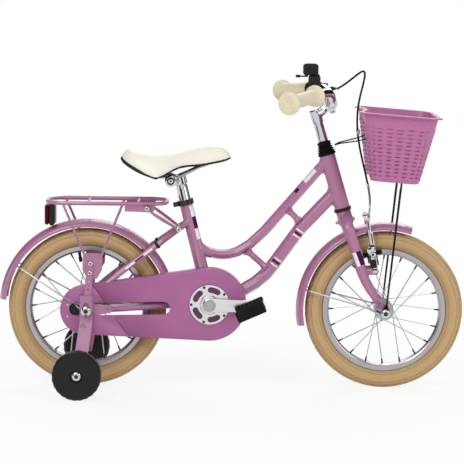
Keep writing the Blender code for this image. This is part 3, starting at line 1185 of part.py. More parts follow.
def training_bracket(name, side):
    """Bent bracket on the axle, with the stub axle of its training wheel."""
    y0, y1 = TRAIN_PLATE
    top, knee, low_z, foot = 0.207, 0.145, 0.086, 0.0430
    wall = BRACKET_WALL
    outline = [(y0, top), (y1, top), (y1, knee + 0.0015), (TAB_Y + wall, low_z + 0.0015),
               (TAB_Y + wall, foot),
               (TAB_Y, foot), (TAB_Y, low_z), (y0, knee)]
    half = BRACKET_WIDTH / 2
    lean = [0.0, 0.0, 0.0, TRAIN_SETBACK * 0.45, TRAIN_SETBACK * 1.1, TRAIN_SETBACK * 1.1,
            TRAIN_SETBACK * 0.45, 0.0]
    loops = [[at(x - back, side * y, z) for (y, z), back in zip(outline, lean)] for x in (-half, half)]
    body = lofted(loops)
    slot_radius = bore(REAR_AXLE_RADIUS, 10)
    slot = plate(hull_of_two((0.0, AXLE_Z), slot_radius, (0.0, AXLE_Z + 0.012), slot_radius),
                 side * (y0 - 0.01), side * (y1 + 0.01))
    hub = at(-TRAIN_SETBACK, 0.0, TRAIN_RADIUS)
    slot_low = (-TRAIN_SETBACK * 0.8, TRAIN_RADIUS + 0.011)
    slot_high = (-TRAIN_SETBACK * 0.6, TRAIN_RADIUS + 0.022)
    tab_slot = plate(hull_of_two(slot_low, 0.0035, slot_high, 0.0035, 6),
                     side * (TAB_Y - 0.01), side * (TAB_Y + 0.01))
    body = cut(body, slot, tab_slot)
    r = REAR_AXLE_RADIUS
    head = TAB_Y - 0.004
    shoulder = TRAIN_INNER - FIT
    end = TRAIN_INNER + TRAIN_WIDTH - 0.006
    profile = [(0, head), (0.0085, head), (0.0085, TAB_Y + 0.001), (0.0075, TAB_Y + 0.001),
               (0.0075, shoulder), (r, shoulder),
               (r, end + FIT), (0.0090, end + FIT), (0.0090, end + 0.004), (0, end + 0.004)]
    stub = turned([(radius, side * y) for radius, y in profile], 10, hub, ring=False)
    piece(name, fused(body, stub), PINK_PAINT)


def training_wheel(name, side):
    """Solid training wheel, recessed round its bolt."""
    hub = at(-TRAIN_SETBACK, 0.0, TRAIN_RADIUS)
    hole = bore(REAR_AXLE_RADIUS, 24)
    low, high = TRAIN_INNER, TRAIN_INNER + TRAIN_WIDTH
    profile = [(hole, low), (TRAIN_RADIUS - 0.004, low), (TRAIN_RADIUS, low + 0.004),
               (TRAIN_RADIUS, high - 0.004),
               (TRAIN_RADIUS - 0.004, high), (0.0140, high), (0.0135, high - 0.006), (hole, high - 0.006)]
    mesh = turned([(radius, side * y) for radius, y in profile], 24, hub)
    piece(name, mesh, BLACK_PLASTIC, at(-TRAIN_SETBACK, side * (low + high) / 2, TRAIN_RADIUS))


def rack():
    """Rack with its hoop, rods, side plates and legs."""
    corner = 0.034
    spots = [(RACK_FRONT - corner, RACK_HALF_WIDTH - corner, 0),
             (RACK_REAR + corner, RACK_HALF_WIDTH - corner, 90),
             (RACK_REAR + corner, corner - RACK_HALF_WIDTH, 180),
             (RACK_FRONT - corner, corner - RACK_HALF_WIDTH, 270)]
    hoop = []
    for x, y, start in spots:
        for step in range(5):
            turn = math.radians(start + 22.5 * step)
            hoop.append(at(x + corner * math.cos(turn), y + corner * math.sin(turn), RACK_Z))
    body = tube(hoop, RACK_RAIL, cyclic=True)
    parts = []
    for x in (0.002, 0.111):
        parts.append(rod(at(x, -RACK_HALF_WIDTH, RACK_Z), at(x, RACK_HALF_WIDTH, RACK_Z), 0.0030, 6))
    leg_y = STRUT_PLATE[0] - FIT
    for side in (-1, 1):
        rail = side * RACK_HALF_WIDTH
        foot = side * (leg_y - 0.0016)
        parts.append(rod(at(-0.0524, rail, RACK_Z - 0.001), at(-0.0036, foot, 0.2940), 0.0030, 6))
        parts.append(rod(at(0.0780, rail, RACK_Z - 0.001), at(0.0324, foot, 0.2940), 0.0030, 6))
        outline = [(-0.0075, 0.3000), (-0.0085, 0.2640), (0.0020, 0.2440), (0.0230, 0.2440),
                   (0.0345, 0.2640), (0.0350, 0.3000)]
        parts.append(plate(outline, side * (leg_y - 0.002), side * leg_y))
        end = RACK_FRONT - corner + 0.008
        side_plate = [(0.0825, 0.4065), (0.0825, 0.3915), (end - 0.006, 0.3900), (end, 0.3940), (end, 0.4065)]
        parts.append(plate(side_plate, side * (RACK_HALF_WIDTH - 0.0012), side * (RACK_HALF_WIDTH + 0.0012)))
    parts.append(block(at(-0.0795, 0.0, RACK_Z - 0.0040), (0.0190, 0.032, 0.0030)))
    parts.append(block(at(-0.0712, 0.0, 0.3825), (0.0024, 0.030, 0.0440)))
    piece("rack", fused(body, *parts), PINK_PAINT)

    sided("rack_strut", rack_strut)
    sided("rack_stay", rack_stay)


def rack_strut(name, side):
    """Perforated strut from the rack's leg plate down to the axle."""
    axle = (0.0, AXLE_Z)
    top = (0.0088, 0.2760)
    holes = [pin_hole(*axle, REAR_AXLE_RADIUS)]
    for share in (0.45, 0.54, 0.63):
        x, z = axle[0] + (top[0] - axle[0]) * share, axle[1] + (top[1] - axle[1]) * share
        holes.append(ring_points(x, z, 0.0017, 6))
    mesh = plate(hull_of_two(axle, 0.0090, top, 0.0070, 6), side * STRUT_PLATE[0], side * STRUT_PLATE[1],
                 holes)
    bolts = []
    for x, z in ((0.0088, 0.2755), (0.0078, 0.2565)):
        bolts.append(rod(at(x, side * (STRUT_PLATE[1] - 0.001), z),
                         at(x, side * (STRUT_PLATE[1] + 0.003), z), 0.0040, 6))
    piece(name, fused(mesh, *bolts), PINK_PAINT)


def rack_stay(name, side):
    """Stay from the rack's side plate to the seat lug."""
    outer = RACK_HALF_WIDTH + 0.0012 + FIT
    run = [(0.1312, outer + 0.0036, 0.3985), (0.1460, outer + 0.0038, 0.3865),
           (0.1540, outer - 0.0010, 0.3810),
           (0.1740, 0.0450, 0.3680), (0.1890, 0.0350, 0.3580), (0.2000, LUG_HALF + FIT + 0.0032, LUG[1])]
    mesh = tube([at(x, side * y, z) for x, y, z in run], 0.0040, 1, [0.6, 0.85, 1.0, 1.0, 0.9, 0.7])
    x, _, z = run[0]
    high = rod(at(x, side * outer, z), at(x, side * (outer + 0.006), z), 0.0055, 8)
    low = rod(at(LUG[0], side * (LUG_HALF + FIT), LUG[1]), at(LUG[0], side * (LUG_HALF + FIT + 0.007),
                                                              LUG[1]), 0.0062, 8)
    piece(name, fused(mesh, high, low), PINK_PAINT)


def rear_light():
    """Rear light housing and its red lens, on the rack's rear tab."""
    front = -0.0712 - 0.0012 - FIT
    depth, lens = 0.0115, 0.0095
    centre_z = 0.3790
    housing = block(at(front - depth / 2, 0.0, centre_z), (depth, 0.062, 0.047), None, 0.003)
    cover = block(at(front - depth - FIT - lens / 2, 0.0, centre_z), (lens, 0.058, 0.044), None, 0.003)
    piece("rear_light_housing", housing, BLACK_PLASTIC)
    piece("rear_light_lens", cover, RED_LENS)


def main():
    """Clears the scene and builds every piece."""
    for obj in list(bpy.data.objects):
        bpy.data.objects.remove(obj)
    front_wheel()
    rear_wheel()
    front_axle()
    rear_axle()
    mudguards()
    frame()
    head_parts()
    fork()
    handlebar()
    cable_start = brake_lever()
    bell()
    front_brake(cable_start)
    basket()
    seat_parts()
    saddle_body()
    drive()
    chaincase()
    coaster_arm()
    sided("training_bracket", training_bracket)
    sided("training_wheel", training_wheel)
    rack()
    rear_light()


main()
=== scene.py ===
"""Looks of a kids bike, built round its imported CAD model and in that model's frame, in metres."""

import json
import logging
import math
from collections.abc import Iterable, Sequence
from dataclasses import dataclass, replace
from enum import Enum

import bmesh
import bpy
from mathutils import Matrix, Vector

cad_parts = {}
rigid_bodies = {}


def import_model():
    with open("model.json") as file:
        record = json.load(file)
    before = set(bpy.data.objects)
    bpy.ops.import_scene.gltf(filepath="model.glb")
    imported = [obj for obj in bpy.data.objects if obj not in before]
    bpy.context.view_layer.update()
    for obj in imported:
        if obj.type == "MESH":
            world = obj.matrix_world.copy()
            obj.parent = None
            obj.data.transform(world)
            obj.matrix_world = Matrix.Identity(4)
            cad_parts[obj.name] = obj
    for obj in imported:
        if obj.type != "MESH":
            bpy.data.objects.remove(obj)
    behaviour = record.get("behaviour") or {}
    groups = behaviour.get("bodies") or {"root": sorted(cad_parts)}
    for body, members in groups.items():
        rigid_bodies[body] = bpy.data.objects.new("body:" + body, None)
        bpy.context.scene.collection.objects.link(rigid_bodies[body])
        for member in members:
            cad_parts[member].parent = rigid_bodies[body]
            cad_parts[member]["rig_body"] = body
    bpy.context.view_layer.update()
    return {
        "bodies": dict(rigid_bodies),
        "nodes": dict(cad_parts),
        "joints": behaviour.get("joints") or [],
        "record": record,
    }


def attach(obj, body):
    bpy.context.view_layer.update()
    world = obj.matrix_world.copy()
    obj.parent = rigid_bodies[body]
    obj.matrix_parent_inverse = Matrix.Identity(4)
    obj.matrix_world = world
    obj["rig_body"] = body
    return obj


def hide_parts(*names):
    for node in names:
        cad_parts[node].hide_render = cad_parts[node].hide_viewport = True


LOG = logging.getLogger("kids_bike")

Shape = bmesh.types.BMesh
Tree = bpy.types.NodeTree
Socket = bpy.types.NodeSocket
Pair = tuple[float, float]
Value = Socket | Vector | tuple[float, ...] | float

MM = 0.001
SAME_PLACE = 0.01 * MM
WHITE = (1.0, 1.0, 1.0, 1.0)
AHEAD = Vector((1.0, 0.0, 0.0))
SIDE = Vector((0.0, 1.0, 0.0))
UP = Vector((0.0, 0.0, 1.0))
SIDES = (("right", -1), ("left", 1))
REAR_AXLE = Vector((-0.31752, 0.0, 0.174))
FRONT_AXLE = Vector((0.33748, 0.0, 0.174))


def place(x: float, y: float, z: float) -> Vector:
    """A point given forward from the rear axle, in the part's frame."""
    return Vector((x + REAR_AXLE.x, y, z))


def at(x: float, y: float, z: float) -> Vector:
    """The same kind of point, given in millimetres."""
    return place(x * MM, y * MM, z * MM)


def in_mm(*pairs: Pair) -> list[Pair]:
    """Pairs of sizes given in millimetres, as metres."""
    return [(first * MM, second * MM) for first, second in pairs]


def mirrored(half: list[Pair]) -> list[Pair]:
    """A section's half as (radius, y), and the same mirrored in the wheel's middle plane."""
    return half + [(radius, -y) for radius, y in reversed(half) if y]


def outward(turn: float, radius: float = 1.0) -> Vector:
    """The way out from the bike's side axis, at an angle in radians from forward towards up."""
    return Vector((math.cos(turn), 0.0, math.sin(turn))) * radius


HEAD_FOOT = at(559.2, 0, 399.4)
HEAD_TILT = math.radians(16.65)
HEAD_UP = outward(math.pi / 2 + HEAD_TILT)
HEAD_FORE = outward(HEAD_TILT)
BRACKET = at(269.5, 0, 189)
GRIP_INNER = (0.4905, 0.135, 0.6525)
GRIP_OUTER = (0.428, 0.250, 0.642)


def linear(code: str) -> tuple[float, ...]:
    """Turns an sRGB colour of six hexadecimal digits into the linear values that shaders take."""
    parts = (int(code[i : i + 2], 16) / 255 for i in (0, 2, 4))
    return (*(c / 12.92 if c <= 0.04045 else ((c + 0.055) / 1.055) ** 2.4 for c in parts), 1.0)


def feed(tree: Tree, node: bpy.types.Node, inputs: dict[str | int, Value]) -> bpy.types.Node:
    """Fills a node's sockets, each with a value or with the socket that feeds it.

    Args:
        tree: The node tree.
        node: The node.
        inputs: Socket name or number, and what it gets.

    Returns:
        The same node.
    """
    for name, value in inputs.items():
        if isinstance(value, Socket):
            tree.links.new(value, node.inputs[name])
        else:
            node.inputs[name].default_value = value
    return node


def add_node(
    tree: Tree, kind: str, inputs: dict[str | int, Value] | None = None, **settings: str | bool
) -> bpy.types.Node:
    """Adds one node.

    Args:
        tree: The node tree that gets it.
        kind: The node's type, without the word ShaderNode.
        inputs: Socket name or number, and the value it holds or the socket that feeds it.
        settings: The node's own settings.

    Returns:
        The new node.
    """
    node = tree.nodes.new(f"ShaderNode{kind}")
    for name, value in settings.items():
        setattr(node, name, value)
    return feed(tree, node, inputs or {})


def number(tree: Tree, operation: str, *values: Value) -> Socket:
    """The result of one operation on numbers."""
    return add_node(tree, "Math", dict(enumerate(values)), operation=operation).outputs[0]


def vector(tree: Tree, operation: str, *values: Value) -> Socket:
    """The result of one operation on vectors: a number for a length or a dot product."""
    node = add_node(tree, "VectorMath", dict(enumerate(values)), operation=operation)
    return node.outputs["Value" if operation in ("LENGTH", "DOT_PRODUCT") else "Vector"]


def mixed(tree: Tree, share: Socket, under: Value, over: Value) -> Socket:
    """One colour laid over another by a share."""
    return add_node(tree, "Mix", {0: share, 6: under, 7: over}, data_type="RGBA").outputs[2]


def mapped(tree: Tree, value: Socket, source: Pair, target: Pair, **settings: str | bool) -> Socket:
    """Moves a number from one range to another.

    Args:
        tree: The node tree.
        value: The number.
        source: The range it comes from.
        target: The range it goes to.
        settings: The node's own settings.

    Returns:
        The moved number.
    """
    ends = zip(("From Min", "From Max", "To Min", "To Max"), (*source, *target))
    inputs = {"Value": value, **dict(ends)}
    return add_node(tree, "MapRange", inputs, **settings).outputs[0]


class Relief(Enum):
    """How a surface was made, which gives its fine relief."""

    SPRAYED = "sprayed paint"
    MOULDED = "etched mould"
    HIDE = "embossed vinyl"
    BRUSHED = "drawn or brushed metal"
    POLISHED = "plated metal"
    PRISMS = "reflector prisms"


@dataclass(frozen=True)
class Band:
    """A painted oblong seen from the side, in millimetres.

    Its middle line runs from start to end, each given as (forward, up).
    """

    start: Pair
    end: Pair
    width: float
    colour: str


@dataclass(frozen=True)
class Ring:
    """A coloured ring round a wheel's centre; the tyres use it for painted shade in their creases."""

    centre: Vector
    radius: float
    width: float
    colour: str


@dataclass(frozen=True)
class Finish:
    """One real finish, with the colours and relief that its making gives it."""

    name: str
    colour: str
    shade: str
    roughness: float
    relief: Relief
    grain_mm: float
    relief_mm: float
    metallic: float = 0.0
    ior: float = 1.5
    coat: float = 0.0
    coat_roughness: float = 0.14
    patch_mm: float = 45.0
    bands: tuple[Band, ...] = ()
    rings: tuple[Ring, ...] = ()

    def material(self) -> bpy.types.Material:
        """Builds the material once and gives the same one afterwards.

        Returns:
            The material.
        """
        made = bpy.data.materials.get(self.name)
        if made:
            return made
        made = bpy.data.materials.new(self.name)
        made.use_nodes = True
        tree = made.node_tree
        spot = add_node(tree, "TexCoord").outputs["Object"]
        noise = {"Vector": spot, "Scale": 1000 / self.patch_mm, "Detail": 4.0}
        patches = add_node(tree, "TexNoise", noise).outputs[0]
        colour = self.banded(tree, spot, mixed(tree, patches, linear(self.colour), linear(self.shade)))
        bump = {"Height": self.height(tree, spot), "Distance": self.relief_mm * MM, "Strength": 1.0}
        gloss = (self.roughness * 0.85, min(1.0, self.roughness * 1.15))
        inputs = {
            "Base Color": colour,
            "Roughness": mapped(tree, patches, (0.0, 1.0), gloss),
            "Normal": add_node(tree, "Bump", bump).outputs[0],
            "Metallic": self.metallic,
            "Coat Weight": self.coat,
            "Coat Roughness": self.coat_roughness,
        }
        if not self.metallic:
            inputs["IOR"] = self.ior
        if self.bands:
            for name, most in (("Specular IOR Level", 0.5), ("Coat Weight", self.coat)):
                inputs[name] = mapped(tree, colour, (0.02, 0.20), (most * 0.2, most))
        feed(tree, tree.nodes["Principled BSDF"], inputs)
        return made

    def banded(self, tree: Tree, spot: Socket, colour: Socket) -> Socket:
        """Lays the painted bands, and the rings of painted shade, over the finish's own colour.

        Args:
            tree: The material's node tree.
            spot: The place on the bike.
            colour: The plain colour.

        Returns:
            The colour with its bands and rings.
        """
        for band in self.bands:
            start, end = (at(x, 0, z) for x, z in (band.start, band.end))
            run = end - start
            along = run.normalized()
            across = Vector((-along.z, 0.0, along.x))
            offset = vector(tree, "SUBTRACT", spot, (start + end) / 2)
            inside = [
                number(tree, "COMPARE", vector(tree, "DOT_PRODUCT", offset, way), 0.0, size / 2)
                for way, size in ((along, run.length), (across, band.width * MM))
            ]
            colour = mixed(tree, number(tree, "MULTIPLY", *inside), colour, linear(band.colour))
        for ring in self.rings:
            flat = vector(tree, "MULTIPLY", vector(tree, "SUBTRACT", spot, ring.centre), (1.0, 0.0, 1.0))
            mask = number(tree, "COMPARE", vector(tree, "LENGTH", flat), ring.radius, ring.width / 2)
            colour = mixed(tree, mask, colour, linear(ring.colour))
        return colour

    def height(self, tree: Tree, spot: Socket) -> Socket:
        """The fine relief of the surface.

        Args:
            tree: The material's node tree.
            spot: The place on the bike.

        Returns:
            The height, between 0 and 1.
        """
        inputs = {"Vector": spot, "Scale": 1000 / self.grain_mm}
        if self.relief in (Relief.HIDE, Relief.PRISMS):
            kind = "SMOOTH_F1" if self.relief is Relief.HIDE else "F1"
            return add_node(tree, "TexVoronoi", inputs, feature=kind).outputs["Distance"]
        inputs["Detail"] = 6.0
        if self.relief is Relief.BRUSHED:
            stretched = add_node(tree, "Mapping", {"Vector": spot, "Scale": (0.15, 1.0, 1.0)})
            inputs |= {"Vector": stretched.outputs[0], "Detail": 3.0}
        return add_node(tree, "TexNoise", inputs).outputs[0]


def across_tube(x: float, z: float, width: float, colour: str) -> Band:
    """A band laid across the side of the down tube."""
    return Band((x - 8, z + 5.7), (x + 8, z - 5.7), width, colour)


def along_fork(offset: float, width: float, colour: str) -> Band:
    """A band laid lengthwise on the fork's blades, at an offset ahead of their rear edge."""
    x, z = offset * 0.93, offset * 0.367
    return Band((580 + x, 304.6 + z), (591.8 + x, 274.7 + z), width, colour)


PURPLE_INK = "46004C"
WHITE_INK = "F4EEF2"
FRAME_BANDS = (
    Band((225.8, 401.6), (244.7, 326.9), 7.8, WHITE_INK),
    Band((232.0, 377.0), (238.7, 350.8), 7.8, PURPLE_INK),
    across_tube(410.3, 271.9, 3.4, WHITE_INK),
    across_tube(415.1, 278.4, 5.2, PURPLE_INK),
    across_tube(419.5, 283.5, 3.4, WHITE_INK),
    across_tube(459.4, 336.0, 3.4, WHITE_INK),
    across_tube(463.0, 341.5, 5.2, PURPLE_INK),
    across_tube(467.2, 347.6, 3.4, WHITE_INK),
    Band((474.7, 456.3), (498.2, 482.9), 8.8, WHITE_INK),
    Band((454.6, 432.4), (462.2, 441.2), 6.2, PURPLE_INK),
    Band((85.1, 264.5), (143.0, 308.3), 3.8, WHITE_INK),
    Band((105.2, 280.0), (124.2, 294.3), 3.8, PURPLE_INK),
)
FORK_BANDS = (
    along_fork(4.1, 8.2, WHITE_INK),
    along_fork(13.9, 11.5, PURPLE_INK),
    along_fork(21.2, 3.0, WHITE_INK),
)

# Semi-gloss powder coat: a soft coat sheen with the slight waviness that spraying leaves.
PINK_PAINT = Finish("sprayed_pink_enamel", "B4789C", "AC7094", 0.32, Relief.SPRAYED, 3.0, 0.018, coat=0.5)
FRAME_PAINT = replace(PINK_PAINT, name="sprayed_pink_enamel_banded", bands=FRAME_BANDS)
FORK_PAINT = replace(PINK_PAINT, name="sprayed_pink_enamel_striped", bands=FORK_BANDS)
# Injection moulded polypropylene: even colour with a finely etched surface.
PINK_PLASTIC = Finish("moulded_pink_polypropylene", "B36A9E", "AA6296", 0.38, Relief.MOULDED, 1.2, 0.04)
ROSE = {"name": "moulded_rose_polypropylene", "colour": "C073A3", "shade": "B66A9A", "roughness": 0.34}
BASKET_PLASTIC = replace(PINK_PLASTIC, **ROSE)
# The pink plastic darkened: painted shade of the chaincase's inner face, seen through the disc's windows.
SHADED_PINK_PLASTIC = replace(PINK_PLASTIC, name="moulded_pink_polypropylene_painted_shade", colour="6A2C5A", shade="60264F")
# Soft thermoplastic rubber of the grips: matt, with a little shade in its hollows.
CREAM_RUBBER = Finish("moulded_cream_rubber", "EFE5C8", "E2D7B6", 0.62, Relief.MOULDED, 0.9, 0.05)
# Embossed vinyl over foam: small pebbles with a low sheen.
CREAM_VINYL = Finish("embossed_cream_vinyl", "FFFCF0", "F8F3E2", 0.46, Relief.HIDE, 1.4, 0.045)
# Vulcanised tyre rubber: matt and speckled by its filler.
TAN_RUBBER = Finish(
    "vulcanised_tan_rubber", "D5B485", "B79669", 0.82, Relief.MOULDED, 0.8, 0.08, patch_mm=3.0
)
# Glass-filled nylon: matt black with a fine spark-eroded grain.
BLACK_PLASTIC = Finish("moulded_black_nylon", "101012", "0B0B0D", 0.46, Relief.MOULDED, 0.9, 0.05, ior=1.4)
# The same nylon, roughened where feet grip it.
MATT_BLACK = Finish("roughened_black_nylon", "1D1D20", "141416", 0.88, Relief.MOULDED, 1.4, 0.08, ior=1.25)
# Stoved black enamel on nipples and clamps; the same black in the hollows of bolts is painted shade.
BLACK_PAINT = Finish("stoved_black_enamel", "0E0E10", "0A0A0C", 0.30, Relief.SPRAYED, 2.5, 0.02, coat=0.2)
# Dip lacquer on steel wire: deep black with a low sheen.
BLACK_LACQUER = Finish("dipped_black_lacquer", "060607", "040405", 0.42, Relief.SPRAYED, 2.5, 0.02, ior=1.3)
# Solid black rubber: brake blocks, cable cover, head cap and valves.
BLACK_RUBBER = Finish(
    "vulcanised_black_rubber", "0C0C0D", "08080A", 0.66, Relief.MOULDED, 0.8, 0.06, ior=1.3
)
# Decorative chrome on steel: a near mirror.
CHROME = Finish("decorative_chrome", "D4D3D6", "CACACE", 0.10, Relief.POLISHED, 6.0, 0.004, metallic=1.0)
# Clear anodised aluminium with the fine lines of its rolling.
ALUMINIUM = Finish("anodised_aluminium", "BDB9BB", "ACA8AB", 0.32, Relief.BRUSHED, 0.8, 0.012, metallic=1.0)
# Forged aluminium, buffed and lacquered: bright and softly reflecting.
BUFFED = Finish("buffed_aluminium", "E4E2E4", "D8D6D9", 0.26, Relief.POLISHED, 3.0, 0.006, metallic=1.0)
# Bright zinc plating: bluish grey and a little cloudy.
ZINC = Finish("bright_zinc_plate", "BDBDC0", "A3A4A8", 0.30, Relief.POLISHED, 2.0, 0.010, 1.0, patch_mm=12)
# Clear acrylic coloured through, with moulded prisms behind its face.
RED_LENS = Finish("red_acrylic_prisms", "5E0614", "46040D", 0.22, Relief.PRISMS, 2.4, 0.30, ior=1.18)
WHITE_LENS = Finish("white_acrylic_prisms", "ECE6EA", "D8CFD5", 0.12, Relief.PRISMS, 2.2, 0.30, coat=0.6)


def finished(
    bm: Shape,
    name: str,
    finish: Finish,
    body: str,
    replaces: Sequence[str] = (),
    sharp: float = 32,
) -> bpy.types.Object:
    """Makes a piece from a bmesh, dresses it and lets it ride on its body.

    Args:
        bm: The shape, in the part's frame. It is freed.
        name: The piece's name.
        finish: What it is made of.
        body: The CAD body it moves with.
        replaces: CAD nodes that it stands for.
        sharp: The angle in degrees past which an edge stays sharp.

    Returns:
        The new object.
    """
    mesh = bpy.data.meshes.new(name)
    bm.to_mesh(mesh)
    bm.free()
    mesh.shade_smooth()
    mesh.set_sharp_from_angle(angle=math.radians(sharp))
    mesh.materials.append(finish.material())
    piece = bpy.data.objects.new(name, mesh)
    bpy.context.scene.collection.objects.link(piece)
    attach(piece, body)
    if replaces:
        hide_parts(*replaces)
    LOG.info("%s: %d faces", name, len(mesh.polygons))
    return piece


def merged(bm: Shape, other: Shape) -> Shape:
    """Adds another shape to a shape, and frees the other.

    Args:
        bm: The shape that grows.
        other: The shape that is added.

    Returns:
        The grown shape.
    """
    mesh = bpy.data.meshes.new("part")
    other.to_mesh(mesh)
    other.free()
    bm.from_mesh(mesh)
    bpy.data.meshes.remove(mesh)
    return bm


def joined(parts: Iterable[Shape]) -> Shape:
    """Joins several shapes into one and frees them.

    Args:
        parts: The shapes.

    Returns:
        One shape.
    """
    whole = bmesh.new()
    for part in parts:
        merged(whole, part)
    return whole


def closed_up(bm: Shape) -> Shape:
    """Fills a shape's open rims."""
    bmesh.ops.holes_fill(bm, edges=[edge for edge in bm.edges if edge.is_boundary], sides=0)
    return bm


def facing_out(bm: Shape) -> Shape:
    """Turns a shape's faces to point out."""
    bmesh.ops.recalc_face_normals(bm, faces=bm.faces)
    return bm


def verts_in(grown: Sequence) -> list[bmesh.types.BMVert]:
    """The vertices in what an operator gives back."""
    return [g for g in grown if isinstance(g, bmesh.types.BMVert)]


def edges_in(grown: Sequence) -> list[bmesh.types.BMEdge]:
    """The edges in what an operator gives back."""
    return [g for g in grown if isinstance(g, bmesh.types.BMEdge)]


def rounded(bm: Shape, edges: Iterable, width: float, segments: int) -> Shape:
    """Rounds some of a shape's edges.

    Args:
        bm: The shape.
        edges: The edges.
        width: The bevel's width.
        segments: Its steps.

    Returns:
        The same shape.
    """
    around = {"affect": "EDGES", "profile": 0.5, "material": -1}
    bmesh.ops.bevel(bm, geom=edges, offset=width, segments=segments, **around)
    return bm


def spun(
    profile: Sequence[Pair],
    centre: Vector,
    axis: Vector = SIDE,
    steps: int = 96,
    arc: Pair = (0.0, 360.0),
    closed: bool = True,
) -> Shape:
    """Spins a section about an axis.

    Args:
        profile: The section as (radius, distance along the axis).
        centre: A point on the axis.
        axis: The axis, of length one.
        steps: Steps over the arc.
        arc: First and last angle in degrees. With the bike's side axis they count from forward towards up.
        closed: Whether the section is a closed loop.

    Returns:
        The shape, closed, with its faces pointing out.
    """
    bm = bmesh.new()
    out = AHEAD if abs(axis.x) < 0.9 else UP
    out = (out - axis * out.dot(axis)).normalized()
    out = Matrix.Rotation(-math.radians(arc[0]), 3, axis) @ out
    verts = [bm.verts.new(centre + out * radius + axis * along) for radius, along in profile]
    pairs = zip(verts, verts[1:] + (verts[:1] if closed else []))
    edges = [bm.edges.new(pair) for pair in pairs]
    swing = arc[1] - arc[0]
    full = swing >= 359.9
    turn = {"cent": centre, "axis": axis, "angle": -math.radians(swing), "steps": steps}
    bmesh.ops.spin(bm, geom=[*verts, *edges], use_merge=full, use_duplicate=False, **turn)
    bmesh.ops.remove_doubles(bm, verts=bm.verts, dist=SAME_PLACE)
    return facing_out(bm if full and closed else closed_up(bm))


def aligned(start: Vector, direction: Vector) -> Matrix:
    """A placing at a start whose Z runs along a direction.

    Args:
        start: Where it stands.
        direction: Where its Z points.

    Returns:
        The placing.
    """
    along = direction.normalized()
    hint = SIDE if abs(along.y) < 0.9 else AHEAD
    across = (hint - along * hint.dot(along)).normalized()
    turn = Matrix((across, along.cross(across), along)).transposed().to_4x4()
    return Matrix.Translation(start) @ turn


def drum(
    start: Vector, end: Vector, radius: float, steps: int = 24, tip: float | None = None, edge: float = 0.0
) -> Shape:
    """A round bar, or a cone where its tip has another radius.

    Args:
        start: Centre of its first end.
        end: Centre of its other end.
        radius: Radius at the first end.
        steps: Sides.
        tip: Radius at the other end.
        edge: Width of the bevel on its ends.

    Returns:
        The shape.
    """
    bm = bmesh.new()
    run = end - start
    ends = {"radius1": radius, "radius2": radius if tip is None else tip, "depth": run.length}
    matrix = aligned((start + end) / 2, run)
    bmesh.ops.create_cone(bm, cap_ends=True, segments=steps, matrix=matrix, **ends)
    if edge:
        rounded(bm, [e for e in bm.edges if any(len(face.verts) == steps for face in e.link_faces)], edge, 2)
    return bm


def block(centre: Vector, size: Sequence[float], edge: float = 0.0, turn: Matrix | None = None) -> Shape:
    """A block with rounded edges.

    Args:
        centre: Its middle.
        size: Its three sizes.
        edge: Width of its rounded edges.
        turn: How it is turned.

    Returns:
        The shape.
    """
    bm = bmesh.new()
    bmesh.ops.create_cube(bm, size=1.0)
    bmesh.ops.scale(bm, vec=size, verts=bm.verts)
    if edge:
        rounded(bm, bm.edges, edge, 3)
    if turn:
        bmesh.ops.transform(bm, matrix=turn.to_4x4(), verts=bm.verts)
    bmesh.ops.translate(bm, vec=centre, verts=bm.verts)
    return bm


def piped(points: Sequence[Vector], radii: Sequence[float], steps: int = 12, cyclic: bool = False) -> Shape:
    """A round bar along points: one ring, drawn on from point to point.

    Args:
        points: The middle line.
        radii: The radius at each point.
        steps: Sides.
        cyclic: Whether the line returns to its start.

    Returns:
        The shape, with closed ends.
    """
    line, radii = list(points), list(radii)
    if cyclic:
        line.append(line[0])
        radii.append(radii[0])
    tangents = []
    for index, point in enumerate(line):
        before = line[index - 1] if index else (line[-2] if cyclic else point)
        after = line[index + 1] if index + 1 < len(line) else (line[1] if cyclic else point)
        tangents.append((after - before).normalized())
    bm = bmesh.new()
    frame = aligned(line[0], tangents[0])
    bmesh.ops.create_circle(bm, cap_ends=False, segments=steps, radius=radii[0], matrix=frame)
    edges = list(bm.edges)
    for index in range(1, len(line)):
        swing = tangents[index - 1].rotation_difference(tangents[index]).to_matrix()
        grown = bmesh.ops.extrude_edge_only(bm, edges=edges)["geom"]
        edges = edges_in(grown)
        move = Matrix.Translation(line[index]) @ swing.to_4x4()
        move = move @ Matrix.Scale(radii[index] / radii[index - 1], 4) @ Matrix.Translation(-line[index - 1])
        bmesh.ops.transform(bm, matrix=move, verts=verts_in(grown))
    if cyclic:
        bmesh.ops.remove_doubles(bm, verts=bm.verts, dist=radii[0] * 0.6)
    return facing_out(closed_up(bm))


def curve(points: Sequence[Vector], per_span: int) -> list[Vector]:
    """A smooth line through points, with so many steps between two of them.

    Args:
        points: The points.
        per_span: Steps between two points.

    Returns:
        The line.
    """
    last = len(points) - 1
    result = []
    for index in range(last):
        a, b, c, d = (points[min(max(index + k, 0), last)] for k in (-1, 0, 1, 2))
        for step in range(per_span):
            t = step / per_span
            square, cube = 2 * a - 5 * b + 4 * c - d, 3 * b - a - 3 * c + d
            result.append(0.5 * (2 * b + (c - a) * t + square * t * t + cube * t**3))
    return [*result, points[-1].copy()]


def ringed(points: Sequence[Vector]) -> Shape:
    """A closed loop of edges through points.

    Args:
        points: The loop's corners.

    Returns:
        The loop.
    """
    bm = bmesh.new()
    verts = [bm.verts.new(point) for point in points]
    for pair in zip(verts, verts[1:] + verts[:1]):
        bm.edges.new(pair)
    return bm


